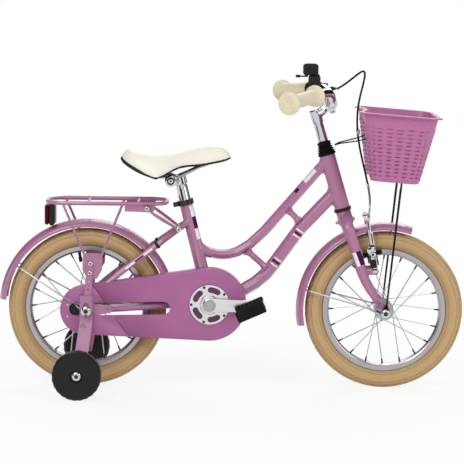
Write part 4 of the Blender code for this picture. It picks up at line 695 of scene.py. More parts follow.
def lofted(loops: Sequence[Sequence[Vector]], cap_first: bool = False, cap_last: bool = False) -> Shape:
    """A skin drawn on from loop to loop. Its vertices know their loop and their place in it.

    Args:
        loops: Closed loops with the same number of points.
        cap_first: Whether the first loop is filled.
        cap_last: Whether the last loop is filled.

    Returns:
        The skin, with its faces pointing out.
    """
    bm = ringed(loops[0])
    order = bm.verts.layers.int.new("order")
    level = bm.verts.layers.int.new("level")
    for index, vert in enumerate(bm.verts):
        vert[order] = index
    edges = list(bm.edges)
    if cap_first:
        bmesh.ops.contextual_create(bm, geom=edges)
    for height, loop in enumerate(loops[1:], 1):
        grown = bmesh.ops.extrude_edge_only(bm, edges=edges)["geom"]
        edges = edges_in(grown)
        for vert in verts_in(grown):
            vert.co = loop[vert[order]]
            vert[level] = height
    if cap_last:
        bmesh.ops.contextual_create(bm, geom=edges)
    return facing_out(bm)


def belt(first: Pair, first_radius: float, second: Pair, second_radius: float, steps: int) -> list[Pair]:
    """The outline of a belt round two discs, as (x from the rear axle, z).

    Args:
        first: Centre of the rear disc.
        first_radius: Its radius.
        second: Centre of the front disc.
        second_radius: Its radius.
        steps: Steps round each disc.

    Returns:
        The outline's points.
    """
    lean = math.atan2(second[1] - first[1], second[0] - first[0])
    wrap = math.acos((first_radius - second_radius) / math.dist(first, second))
    result = []
    for centre, radius, start, end in (
        (first, first_radius, lean + wrap, lean - wrap + math.tau),
        (second, second_radius, lean - wrap, lean + wrap),
    ):
        for step in range(steps + 1):
            turn = start + (end - start) * step / steps
            result.append((centre[0] + radius * math.cos(turn), centre[1] + radius * math.sin(turn)))
    return result


def filled(outer: Sequence[Vector], holes: Sequence[Sequence[Vector]], thick: Vector) -> Shape:
    """A flat plate.

    Args:
        outer: Its outline.
        holes: The outlines of its holes.
        thick: How far and which way it is extruded.

    Returns:
        The plate, closed.
    """
    bm = joined(ringed(loop) for loop in (outer, *holes))
    bmesh.ops.triangle_fill(bm, use_beauty=True, use_dissolve=False, edges=bm.edges)
    bmesh.ops.dissolve_limit(bm, angle_limit=math.radians(0.5), verts=[], edges=bm.edges)
    grown = bmesh.ops.extrude_face_region(bm, geom=list(bm.faces), use_keep_orig=True)["geom"]
    bmesh.ops.translate(bm, vec=thick, verts=verts_in(grown))
    return facing_out(bm)


def walled(piece: bpy.types.Object, thickness: float) -> None:
    """Gives a skin its wall, behind its faces.

    Args:
        piece: The skin.
        thickness: Its wall.
    """
    wall = piece.modifiers.new("wall", "SOLIDIFY")
    wall.thickness = thickness
    wall.offset = -1.0
    wall.use_even_offset = True


@dataclass(frozen=True)
class Carried:
    """CAD nodes that are shown as merged copies of their own solids, with smooth faces."""

    finish: Finish
    slot: str
    sharp: float
    nodes: tuple[str, ...]
    edge: float = 0.0
    coat: float = 0.0

    def lacquer(self, bm: Shape) -> None:
        """Grows the free wires by their lacquer, between the wheel nut and the basket.

        Args:
            bm: The copy.
        """
        for vert in bm.verts:
            free = min(1.0, max(0.0, vert.co.z - 0.200) / 0.02, max(0.0, 0.455 - vert.co.z) / 0.01)
            vert.co += vert.normal * self.coat * free

    def build(self, sources: dict) -> None:
        """Carries the nodes over, and breaks their sharp edges where an edge width is given.

        Args:
            sources: The CAD nodes by name.
        """
        for node in self.nodes:
            bm = bmesh.new()
            bm.from_mesh(sources[node].data)
            bmesh.ops.remove_doubles(bm, verts=bm.verts, dist=0.002 * MM)
            bmesh.ops.dissolve_limit(bm, angle_limit=math.radians(0.8), verts=bm.verts, edges=bm.edges)
            if self.coat:
                self.lacquer(bm)
            body = sources[node]["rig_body"]
            piece = finished(bm, f"{node}_shown", self.finish, body, [node], self.sharp)
            if self.edge:
                bevel = piece.modifiers.new("broken_edges", "BEVEL")
                bevel.width = self.edge
                bevel.segments = 2
                bevel.limit_method = "ANGLE"
                bevel.angle_limit = math.radians(self.sharp)
                bevel.harden_normals = True


@dataclass
class Wheel:
    """One spoked wheel: tyre with its tread, rim, hub, spokes and nipples."""

    name: str
    centre: Vector
    flange: float
    flange_out: float
    hub_profile: list[Pair]
    rim_inner: float = 0.1215
    spokes: int = 20
    crossing: int = 4
    spoke_radius: float = 0.0011
    nipple_radius: float = 0.0021
    nipple_length: float = 0.0115
    steps: int = 120
    tread_foot: float = 0.1684
    tread_rows: tuple[tuple[float, float, int, int], ...] = (
        (0.0, 1.8, 3, 3),
        (1.8, 5.6, 2, 0),
        (5.6, 9.6, 2, 1),
        (9.6, 13.2, 3, 1),
        (13.2, 16.8, 3, 0),
    )

    def add(
        self, bm: Shape, word: str, finish: Finish, slot: str, node: str = "", sharp: float = 32
    ) -> None:
        """Makes one piece of the wheel, which may stand for one of its nodes.

        Args:
            bm: Its shape.
            word: Its name after the wheel's.
            finish: What it is made of.
            slot: The record's material slot; not used.
            node: The wheel's node that it stands for, if any.
            sharp: The angle in degrees past which an edge stays sharp.
        """
        replaces = [f"{self.name}_{node}"] if node else ()
        finished(bm, f"{self.name}_{word}", finish, f"{self.name}_wheel", replaces, sharp)

    def tyre_profile(self) -> list[Pair]:
        """Casing with rounded side walls, fine rings near bead and shoulder, and the tread's foot.

        Returns:
            The closed section as (radius, y).
        """
        bead = in_mm((130.2, 9.4), (136.2, 9.8), (137.8, 11.2), (139.5, 15), (141.2, 17.2), (142, 18.4))
        wall = in_mm((143.2, 18.6), (147, 21.8), (151, 23.2), (154.5, 23.5), (158, 23), (159.8, 22.9))
        shoulder = in_mm((160.8, 21.9), (164.5, 19.6), (167.5, 16.8))
        tread = in_mm((170, 13.2), (171.7, 9.6), (172.7, 5.6), (173.2, 1.8))
        inner = in_mm((130.2, 6.6), (139.5, 7.6), (145, 15), (154.5, 20.5), (166, 14), (169.2, 0))
        return mirrored(bead + wall + shoulder + tread) + mirrored(inner)[::-1]

    def raised(self, face: bmesh.types.BMFace) -> bool:
        """Whether a face of the tread is the top of a block.

        Args:
            face: A face of the tyre. Each row of blocks has its own rhythm: every so many steps, and a lead.

        Returns:
            True for the top of a block.
        """
        spot = face.calc_center_median() - self.centre
        step = int(math.degrees(math.atan2(spot.z, spot.x)) % 360 / 360 * self.steps)
        across = abs(spot.y) / MM
        side = 1 if spot.y < 0 else 0
        return math.hypot(spot.x, spot.z) >= self.tread_foot and any(
            low <= across < high and (step + lead + side) % every
            for low, high, every, lead in self.tread_rows
        )

    def tyre(self) -> None:
        """Builds the tyre: a spun casing whose tread faces are raised into blocks."""
        bm = spun(self.tyre_profile(), self.centre, steps=self.steps)
        blocks = [face for face in bm.faces if self.raised(face)]
        bmesh.ops.inset_individual(bm, faces=blocks, thickness=0.0005, depth=0.0010)
        # Thin darker rings at the bead, the shoulder and the tread's foot are painted shade in the tyre's
        # creases.
        painted_shade_lines = tuple(Ring(self.centre, radius, 0.0008, "8F6E47") for radius in (0.1433, 0.1602, 0.1680))
        rubber = replace(TAN_RUBBER, name=f"{TAN_RUBBER.name}_{self.name}", rings=painted_shade_lines)
        self.add(bm, "tyre_tread", rubber, "tan_rubber", "tyre", 40)

    def rim(self) -> None:
        """Builds the rim: a rounded box section with brake tracks."""
        outside = in_mm((130, 9.2), (135.2, 10.1), (136, 10.6), (136, 12.2), (135.3, 12.8), (126.5, 12.8))
        inside = in_mm((125.6, 12.1), (123.2, 10.6), (122, 8))
        profile = mirrored([*outside, *inside, (self.rim_inner, 0.0040)])
        shell = spun(profile, self.centre, steps=self.steps)
        self.add(shell, "rim_shell", ALUMINIUM, "aluminium", "rim", 28)

    def hub(self) -> None:
        """Builds the hub shell with rounded flanges."""
        self.add(spun(self.hub_profile, self.centre, steps=48), "hub_shell", ZINC, "zinc_steel", "hub", 28)

    def lacing(self) -> None:
        """Builds the crossed spokes with their heads, and a nipple at each spoke's rim end."""
        wires, nipples = [], []
        pitch = math.tau / self.spokes
        for index in range(self.spokes):
            side = 1 if index % 2 else -1
            lead = 1 if index % 4 < 2 else -1
            turn = pitch * index
            foot = self.centre + outward(turn + lead * pitch * self.crossing, self.flange)
            foot += SIDE * (side * self.flange_out + lead * 0.0018)
            end = self.centre + outward(turn, self.rim_inner + 0.0012) + SIDE * (side * 0.0015)
            wires.append(drum(foot, end, self.spoke_radius, 8))
            head = (foot - SIDE * (lead * 0.0042), foot + SIDE * (lead * 0.0012))
            wires.append(drum(*head, 0.0019, 10, edge=0.0005))
            back = (foot - end).normalized()
            top = end + back * self.nipple_length
            nipples.append(drum(end, top, self.nipple_radius, 10, tip=0.0016, edge=0.0004))
        self.add(joined(wires), "spokes", ZINC, "zinc_steel")
        self.add(joined(nipples), "nipples", BLACK_PAINT, "black_metal")

    def valve(self) -> None:
        """Builds the valve stem with its cap, on the rim's inner side."""
        out = outward(math.radians(99))
        foot = self.centre + out * (self.rim_inner + 0.002)
        stem = drum(foot, foot - out * 0.014, 0.0038, 16, tip=0.0028, edge=0.0004)
        cap = drum(foot - out * 0.013, foot - out * 0.024, 0.0042, 12, tip=0.0036, edge=0.0006)
        self.add(joined([stem, cap]), "valve", BLACK_RUBBER, "black_rubber")

    def build(self) -> None:
        """Builds the whole wheel."""
        self.tyre()
        self.rim()
        self.hub()
        self.lacing()
        self.valve()


def wheels() -> tuple[Wheel, Wheel]:
    """The two wheels with their different hubs; the rear one has the driver's seat on its right.

    Returns:
        The front wheel and the rear one.
    """
    front = in_mm((12.8, 0), (13, 23), (20, 23.8), (20.8, 24.8), (20.8, 26.8), (20, 28))
    front += in_mm((12.4, 28.8), (10.4, 44), (5, 44))
    shell = in_mm((21.5, 0), (22.5, 26.2), (29.2, 27), (30.2, 28), (30.2, 30.5), (29.2, 31.7))
    bearing = in_mm((19.6, 34), (18.2, 35.2), (18, 40), (5.5, 40), (5.5, -32), (22.5, -32))
    rear = shell + bearing + [(radius, -y) for radius, y in reversed(shell[1:])]
    return (
        Wheel("front", FRONT_AXLE, 0.0176, 0.0258, mirrored(front)),
        Wheel("rear", REAR_AXLE, 0.0262, 0.0293, rear),
    )


@dataclass
class Mudguard:
    """A pressed mudguard with rolled edges and a raised middle."""

    name: str
    centre: Vector
    arc: Pair
    body: str = "root"
    outer: float = 0.1947
    depth: float = 0.0147
    half: float = 0.027
    wall: float = 0.0013
    lip: float = 0.0014
    crease: float = 0.0006
    steps: int = 20

    def bow(self, depth: float, half: float) -> list[Pair]:
        """A half-round bow from edge to edge, without its ends."""
        turns = (math.pi * (step / self.steps - 0.5) for step in range(1, self.steps))
        return [(self.outer - self.depth + depth * math.cos(turn), half * math.sin(turn)) for turn in turns]

    def section(self) -> list[Pair]:
        """The section as (radius, y): outside from edge to edge with rolled lips, then back inside.

        Returns:
            The closed section.
        """
        edge, lip = self.outer - self.depth, self.lip
        turns = (-1.9, -1.2, -0.4, 0.4)
        roll = [(edge + lip * math.sin(turn), lip - self.half - lip * math.cos(turn)) for turn in turns]
        outside = self.bow(self.depth - self.crease, self.half)
        for step in range(7, 12):
            outside[step] = (outside[step][0] + self.crease, outside[step][1])
        inside = self.bow(self.depth - self.wall, self.half - self.wall)
        return roll + outside + [(radius, -y) for radius, y in reversed(roll)] + inside[::-1]

    def tab(self) -> Shape:
        """The front guard's tab under the fork's crown."""
        turn = Matrix((HEAD_FORE, SIDE, HEAD_FORE.cross(SIDE))).transposed()
        return block(HEAD_FOOT - HEAD_UP * 0.04655, (0.014, 0.016, 0.0129), 0.001, turn)

    def build(self) -> None:
        """Builds the guard as one spun channel; the steered one has its tab."""
        bm = spun(self.section(), self.centre, steps=72, arc=self.arc)
        if self.body == "steering":
            merged(bm, self.tab())
        finished(bm, f"{self.name}_pressing", PINK_PAINT, self.body, [self.name], 35)


@dataclass
class Studio:
    """Pale floor, soft light and the camera at the photograph's angle."""

    pixels_to_vertical: float = 271.7
    focal_pixels: float = 2258.0
    frame_pixels: float = 464.0
    sensor: float = 36.0
    stand: tuple[float, float, float] = (-0.0412, -4.946, 0.9376)
    roll: float = math.radians(0.713)
    yaw: float = math.radians(-0.474)
    aim: tuple[float, float, float] = (0.0, 0.0, 0.35)
    flag_middle: float = 0.60
    flag_half: float = 0.22
    flag_edge: float = 0.10
    room_light: float = 0.45
    floor_fade: tuple[Pair, Pair] = ((0.30, 1.1), (0.84, 1.0))
    lamps: tuple[tuple[str, tuple[float, float, float], float, float], ...] = (
        ("key", (-1.6, -2.4, 2.6), 1.8, 46.0),
        ("fill", (2.2, -1.8, 1.6), 1.6, 21.0),
        ("back", (0.4, 2.6, 2.4), 1.8, 33.0),
    )

    def camera(self) -> None:
        """Stands the camera on the bike's right, a little above the saddle, looking slightly down."""
        lens = bpy.data.cameras.new("camera")
        lens.sensor_width = self.sensor
        lens.lens = self.focal_pixels * self.sensor / self.frame_pixels
        camera = bpy.data.objects.new("camera", lens)
        bpy.context.scene.collection.objects.link(camera)
        down = math.atan2(self.pixels_to_vertical, self.focal_pixels)
        turn = Matrix.Rotation(self.yaw, 4, "Z") @ Matrix.Rotation(math.pi / 2 - down, 4, "X")
        camera.matrix_world = Matrix.Translation(self.stand) @ turn @ Matrix.Rotation(self.roll, 4, "Z")
        bpy.context.scene.camera = camera

    def seen(self, tree: Tree) -> Socket:
        """The socket that is one for what the camera, reflections and clear pieces see.

        Args:
            tree: The node tree.

        Returns:
            The socket.
        """
        rays = add_node(tree, "LightPath").outputs
        share = number(tree, "MAXIMUM", rays["Is Camera Ray"], rays["Is Glossy Ray"])
        return number(tree, "MAXIMUM", share, rays["Is Transmission Ray"])

    def world(self) -> None:
        """Lights the room evenly, shows white behind the bike and two dark flags in its reflections."""
        world = bpy.data.worlds.new("studio")
        world.use_nodes = True
        tree = world.node_tree
        tree.nodes.clear()
        lit, white, dark = (
            add_node(tree, "Background", {"Color": colour, "Strength": strength}).outputs[0]
            for colour, strength in ((WHITE, self.room_light), (WHITE, 1.0), (linear("1C1B1D"), 1.0))
        )
        way = add_node(tree, "TexCoord").outputs["Generated"]
        sideways = number(tree, "ABSOLUTE", add_node(tree, "SeparateXYZ", {0: way}).outputs[0])
        off = number(tree, "ABSOLUTE", number(tree, "SUBTRACT", sideways, self.flag_middle))
        edge = mapped(tree, off, (self.flag_half + self.flag_edge, self.flag_half), (0.0, 1.0))
        flag = number(tree, "MULTIPLY", edge, add_node(tree, "LightPath").outputs["Is Glossy Ray"])
        shown = add_node(tree, "MixShader", {0: flag, 1: white, 2: dark}).outputs[0]
        mix = add_node(tree, "MixShader", {0: self.seen(tree), 1: lit, 2: shown}).outputs[0]
        add_node(tree, "OutputWorld", {"Surface": mix})
        bpy.context.scene.world = world

    def floor(self) -> None:
        """Lays the floor: white with a soft shadow below the bike, and plain white further away."""
        bm = bmesh.new()
        bmesh.ops.create_grid(bm, x_segments=1, y_segments=1, size=6.0)
        mesh = bpy.data.meshes.new("floor")
        bm.to_mesh(mesh)
        bm.free()
        made = bpy.data.materials.new("white_studio_floor")
        made.use_nodes = True
        tree = made.node_tree
        matt_white = {"Base Color": linear("FAFAFA"), "Roughness": 0.9}
        shader = feed(tree, tree.nodes["Principled BSDF"], matt_white)
        far = vector(tree, "LENGTH", add_node(tree, "TexCoord").outputs["Object"])
        fade = mapped(tree, far, *self.floor_fade, interpolation_type="SMOOTHSTEP")
        white = add_node(tree, "Emission", {"Color": WHITE, "Strength": 1.0}).outputs[0]
        share = number(tree, "MULTIPLY", fade, self.seen(tree))
        mix = add_node(tree, "MixShader", {0: share, 1: shader.outputs[0], 2: white})
        feed(tree, tree.nodes["Material Output"], {"Surface": mix.outputs[0]})
        mesh.materials.append(made)
        floor = bpy.data.objects.new("floor", mesh)
        bpy.context.scene.collection.objects.link(floor)

    def lamp(self, name: str, spot: Sequence[float], size: float, power: float) -> None:
        """Hangs one soft square lamp that points at the bike.

        Args:
            name: Its name.
            spot: Where it hangs.
            size: Its side.
            power: Its power in watts.
        """
        data = bpy.data.lights.new(name, "AREA")
        data.shape = "SQUARE"
        data.size = size
        data.energy = power
        lamp = bpy.data.objects.new(name, data)
        bpy.context.scene.collection.objects.link(lamp)
        turn = (Vector(self.aim) - Vector(spot)).to_track_quat("-Z", "Y").to_matrix().to_4x4()
        lamp.matrix_world = Matrix.Translation(spot) @ turn

    def build(self) -> None:
        """Builds the whole studio."""
        bpy.context.scene.view_settings.view_transform = "Standard"
        self.world()
        self.floor()
        self.camera()
        for lamp in self.lamps:
            self.lamp(*lamp)


@dataclass(frozen=True)
class Stake:
    """A place round the basket.

    It knows which way is out there, its column and how far it is from a corner's middle.
    """

    x: float
    y: float
    out: Pair
    column: float
    corner: float


@dataclass
class Basket:
    """Moulded basket: plain band and corners round woven walls, a turned rim and a floor."""

    rear: Pair = (0.594, 0.613)
    front: Pair = (0.762, 0.7227)
    half: Pair = (0.118, 0.088)
    rim_z: Pair = (0.6165, 0.604)
    bottom_z: float = 0.4674
    hollow: float = 0.014
    lip: float = 0.005
    wall: float = 0.0024
    skin: float = 0.0016
    height: float = 0.150
    rows: int = 14
    band: Pair = (0.155, 0.965)
    corner_strip: Pair = (0.008, 0.80)
    rounding: float = 0.010
    proud: float = 0.0016
    strand: float = 0.0018
    dip: float = 0.0022
    slit_away: float = 0.27
    slit: float = 0.15
    per_column: int = 8
    columns: tuple[int, int, int] = (3, 4, 7)

    @property
    def row_share(self) -> float:
        """The height of one woven row as a share of the wall's height."""
        return (self.band[1] - self.band[0]) / self.rows

    def stakes(self, share: float, inset: float, radius: float) -> list[Stake]:
        """The places round one level.

        Args:
            share: The level, from 0 at the rim to 1 at the bottom.
            inset: How far it is drawn in from the outside.
            radius: The radius of its corners.

        Returns:
            The places: corner, left side, corner, rear, corner, right side, corner and front.
        """
        rear, front, half = (a + (b - a) * share for a, b in (self.rear, self.front, self.half))
        x0, x1, y1 = rear + inset + radius, front - inset - radius, half - inset - radius
        centres = ((x1, y1), (x0, y1), (x0, -y1), (x1, -y1))
        corner, side, end = (count * self.per_column for count in self.columns)
        result: list[Stake] = []
        for quarter in range(4):
            (cx, cy), (nx, ny) = centres[quarter], centres[(quarter + 1) % 4]
            for part in (step / corner for step in range(corner)):
                turn = math.radians(90.0 * (quarter + part))
                out = (math.cos(turn), math.sin(turn))
                away = abs(part - 0.5) * radius * math.pi / 2
                x, y = cx + radius * out[0], cy + radius * out[1]
                result.append(Stake(x, y, out, len(result) / self.per_column, away))
            turn = math.radians(90.0 * quarter)
            out = (-math.sin(turn), math.cos(turn))
            run = math.hypot(nx - cx, ny - cy)
            count = end if quarter % 2 else side
            for part in (step / count for step in range(count)):
                x = cx + (nx - cx) * part + radius * out[0]
                y = cy + (ny - cy) * part + radius * out[1]
                away = min(part, 1 - part) * run + radius * math.pi / 4
                result.append(Stake(x, y, out, len(result) / self.per_column, away))
        return result

    def level(self, share: float, inset: float, radius: float, woven: bool = False) -> list[Vector]:
        """The points of one level.

        Args:
            share: The level, from 0 at the rim to 1 at the bottom.
            inset: How far it is drawn in from the outside.
            radius: The radius of its corners.
            woven: Whether its strands stand out and in.

        Returns:
            The points, in the order of the stakes.
        """
        slope = (self.rim_z[1] - self.rim_z[0]) / (self.front[0] - self.rear[0])
        rear_z = self.rim_z[0] + (self.bottom_z - self.rim_z[0]) * share
        rear = self.rear[0] + (self.rear[1] - self.rear[0]) * share
        half = self.half[0] + (self.half[1] - self.half[0]) * share - inset - radius
        result = []
        for stake in self.stakes(share, inset, radius):
            x = stake.x
            if stake.out[0] < -0.5 and abs(stake.y) < half:
                x += self.hollow * (1 - (stake.y / half) ** 2) * (1 - 0.3 * share)
            push = self.relief(stake, share) if woven else 0.0
            z = rear_z + slope * (stake.x - rear)
            result.append(place(x + stake.out[0] * push, stake.y + stake.out[1] * push, z))
        return result

    def mask(self, stake: Stake, share: float) -> float:
        """How fully woven a place is: 0 in the plain band and corner strips, 1 in the woven walls.

        Args:
            stake: The place.
            share: Its level.

        Returns:
            How fully it is woven.
        """
        first, last = self.band
        strip = self.corner_strip[0] * max(0.0, 1 - (share - first) / (self.corner_strip[1] - first))
        side = stake.corner - strip if strip else 1.0
        top, low = (share - first) * self.height, (last - share) * self.height
        inside = min(side, top)
        if strip and side < self.rounding and top < self.rounding:
            inside = self.rounding - math.hypot(self.rounding - side, self.rounding - top)
        return max(0.0, min(1.0, min(inside, low) / 0.002))

    def relief(self, stake: Stake, share: float) -> float:
        """How far the woven strands stand out: each row dives behind every other stake.

        Args:
            stake: The place.
            share: Its level.

        Returns:
            The push outwards in metres.
        """
        row = max(0.0, (share - self.band[0]) / self.row_share)
        wave = math.cos(math.pi * stake.column) * (-1) ** int(row)
        bulge = math.sqrt(max(0.0, 1 - (2 * (row % 1.0) - 1) ** 2))
        dive = ((1 - wave) / 2) ** 4
        return self.mask(stake, share) * (self.proud + self.strand * (bulge - 1) - self.dip * dive)

    def levels(self) -> list[float]:
        """The levels of the wall: plain at the top, then four steps and a narrow gap for each woven row.

        Returns:
            The levels, from the rim down.
        """
        parts = (self.slit / 2, 0.28, 0.5, 0.72, 1 - self.slit / 2)
        woven = [self.band[0] + self.row_share * (row + part) for row in range(self.rows) for part in parts]
        return [0.02, 0.06, 0.10, 0.13, 0.148, *woven, 0.975, 0.99]

    def slits(self, bm: Shape, first: int) -> None:
        """Opens the narrow gaps between the strands, where one of them dives behind a stake.

        Args:
            bm: The skin.
            first: How many loops lie above the first level of the wall.
        """
        order, level = bm.verts.layers.int["order"], bm.verts.layers.int["level"]
        levels = self.levels()
        rings = [self.stakes(share, 0.0, self.corner(share)) for share in levels]
        gone = []
        for face in bm.faces:
            row = min(vert[level] for vert in face.verts) - first
            places = {vert[order] for vert in face.verts}
            if not 0 <= row < len(levels) - 1 or max(places) - min(places) != 1:
                continue
            if abs(levels[row + 1] - levels[row] - self.slit * self.row_share) > 0.0001:
                continue
            woven = min(self.mask(rings[row][index], levels[row]) for index in places)
            column = (min(places) + 0.5) / self.per_column
            if woven >= 1.0 and abs(column % 1.0 - 0.5) > self.slit_away:
                gone.append(face)
        bmesh.ops.delete(bm, geom=gone, context="FACES")

    def corner(self, share: float) -> float:
        """The radius of the wall's corners at a level."""
        return 0.034 - 0.012 * share

    def shell(self) -> None:
        """Builds the basket's shell from its rim down."""
        lip, wall = self.lip, self.wall
        turned = ((0.012, -lip, 0.0385), (0.006, -lip, 0.0388), (0.0015, 0.0010 - lip, 0.038))
        rim = (*turned, (0.0, 0.0022 - lip, 0.037), (0.0, wall - 0.0012, 0.0325), (0.006, wall, 0.0315))
        walls = [(share, wall, self.corner(share) - wall, True) for share in self.levels()]
        floor = ((0.998, 0.0035, 0.020), (1.0, 0.0075, 0.017), (1.0, 0.0300, 0.012))
        bm = lofted([self.level(*row) for row in (*rim, *walls, *floor)], cap_last=True)
        lowest = min(bm.faces, key=lambda face: face.calc_center_median().z)
        if lowest.normal.z > 0:
            bmesh.ops.reverse_faces(bm, faces=bm.faces)
        self.slits(bm, len(rim))
        weave = finished(bm, "basket_weave", BASKET_PLASTIC, "steering", ["basket"], 50)
        walled(weave, self.skin)

    def build(self) -> None:
        """Builds the basket, and the plated strap and screws that hold it to its bracket wire."""
        self.shell()
        parts = [block(at(592.5, 0, 568), (0.0040, 0.052, 0.010), 0.0012)]
        parts += [drum(at(591.5, y, 568), at(588, y, 568), 0.0036, 14, edge=0.0006) for y in (-18, 18)]
        finished(joined(parts), "basket_strap", ZINC, "steering")


@dataclass
class Saddle:
    """Foam cushion under vinyl, with the welt along its lower edge.

    Its stations hold x, half width, low and high in millimetres.
    """

    stations: tuple[tuple[float, float, float, float], ...] = (
        (75, 15, 505, 512),
        (80, 34, 500, 519.5),
        (92, 54, 493, 525.5),
        (111, 67, 483, 524.5),
        (131, 74, 473, 523),
        (150, 76, 467, 521.5),
        (166, 70, 472.5, 521),
        (183, 57, 481.5, 521),
        (200, 42, 488.5, 522.5),
        (220, 32, 491.5, 525.5),
        (245, 26, 493, 530),
        (270, 22.5, 497, 533),
        (290, 19.5, 501, 531),
        (303, 15, 504.5, 523),
        (310.5, 8, 507.5, 515),
    )
    thick: float = 0.018
    edge: float = 0.006

    def smooth_stations(self) -> list[tuple[float, float, float, float]]:
        """More stations in metres, on smooth lines through the given ones.

        Returns:
            The stations.
        """
        rows = [[size * MM for size in station] for station in self.stations]
        places = curve([Vector((x, half, low)) for x, half, low, _ in rows], 4)
        tops = curve([Vector((x, half, high)) for x, half, _, high in rows], 4)
        return [(p.x, p.y, p.z, t.z) for p, t in zip(places, tops)]

    def arch(self, start: float, half: float, rise: float, steps: int) -> list[Pair]:
        """A squarish arch as (y, height), from one side (start -1 or 1) to the other.

        Args:
            start: The side it starts from: 1 left, -1 right.
            half: Half its width.
            rise: Its height.
            steps: Its steps.

        Returns:
            The arch's points.
        """
        result = []
        for step in range(steps + 1):
            turn = start * math.pi * (0.5 - step / steps)
            y = math.copysign(abs(math.sin(turn)) ** 0.8, turn) * half
            result.append((y, rise * max(0.0, math.cos(turn)) ** 0.8))
        return result

    def section(self, x: float, half: float, low: float, high: float) -> list[Vector]:
        """One section across the cushion: crowned above, drawn in at the sides, hollow below.

        Args:
            x: How far it is forward of the rear axle.
            half: Half its width.
            low: The height of its lower edge.
            high: The height of its top.

        Returns:
            The closed section.
        """
        above = self.arch(-1, half, high - low, 24)
        room = max(0.0008, high - self.thick - low)
        below = self.arch(1, max(half - self.edge, half * 0.6), room, 8)
        return [place(x, y, low + z) for y, z in above] + [place(x, y, low + z + 0.0004) for y, z in below]

    def cushion(self) -> None:
        """Builds the cushion."""
        loops = [self.section(*station) for station in self.smooth_stations()]
        bm = lofted(loops, cap_first=True, cap_last=True)
        piece = finished(bm, "saddle_cover", CREAM_VINYL, "saddle", ["saddle_cushion"], 75)
        smooth = piece.modifiers.new("foam", "SUBSURF")
        smooth.levels = 1
        smooth.render_levels = 1

    def swell(self, x: float) -> float:
        """The radius of the welt: full under tail and nose, fine between them.

        Args:
            x: How far it is forward of the rear axle.

        Returns:
            The radius.
        """
        tail = max(0.0, min(1.0, (0.150 - x) / 0.040))
        nose = max(0.0, min(1.0, (x - 0.225) / 0.040))
        return 0.0006 + 0.0036 * tail + 0.0018 * nose

    def welt(self) -> None:
        """Builds the welt along the cushion's lower edge."""
        rows = [(x, half, low, self.swell(x)) for x, half, low, _ in self.smooth_stations()]
        line = [place(x, 0.0004 + size * 0.4 - half, low - size * 0.35) for x, half, low, size in rows]
        line += [Vector((spot.x, -spot.y, spot.z)) for spot in reversed(line)]
        sizes = [row[-1] for row in (*rows, *rows[::-1])]
        cord = piped(line, sizes, 10, True)
        finished(cord, "saddle_welt", BLACK_PLASTIC, "saddle", sharp=60)

    def build(self) -> None:
        """Builds the saddle's soft pieces."""
        self.cushion()
        self.welt()


@dataclass
class Grip:
    """A moulded grip: rings on its end face, a flange and a waisted body.

    The right one has an inner flange too.
    """

    word: str
    side: int

    def collar(self) -> list[Pair]:
        """The inner end as (radius, distance from the end).

        Returns:
            The inner end's section.
        """
        if self.side > 0:
            return in_mm((15.2, 30), (15.4, 10), (15.5, 8.8), (15.5, 2), (15, 1), (11.4, 1))
        flange = in_mm((15.2, 30), (15.6, 16), (17.2, 11.2), (20.5, 7), (22.8, 5.2), (23.5, 4))
        return flange + in_mm((23.5, 1.6), (22.8, 1), (11.4, 1))

    def build(self) -> None:
        """Builds the grip."""
        outer, inner = (place(x, self.side * y, z) for x, y, z in (GRIP_OUTER, GRIP_INNER))
        run = inner - outer
        rings = in_mm((0, 0.8), (6.5, 0.8), (7.2, 0.2), (10, 0.2), (10.7, 1.2), (13.5, 1.2), (14.2, 0.2))
        flange = in_mm((18, 0.2), (18.8, 1.4), (20.8, 1.6), (23, 2.4), (24.3, 4.2), (24.5, 6.2))
        body = in_mm((24.5, 8.8), (23.8, 10.6), (21.5, 12.8), (18.6, 16), (16.6, 20), (15.6, 25))
        body += [(0.0151, 0.042), (0.0150, run.length * 0.55)]
        end = [(radius, run.length - back) for radius, back in self.collar()]
        profile = rings + flange + body + end + in_mm((11.4, 9.5), (0, 9.5))
        bm = spun(profile, outer, run.normalized(), 48, closed=False)
        node = f"grip_{self.word}"
        finished(bm, f"{node}_moulding", CREAM_RUBBER, "steering", [node], 50)


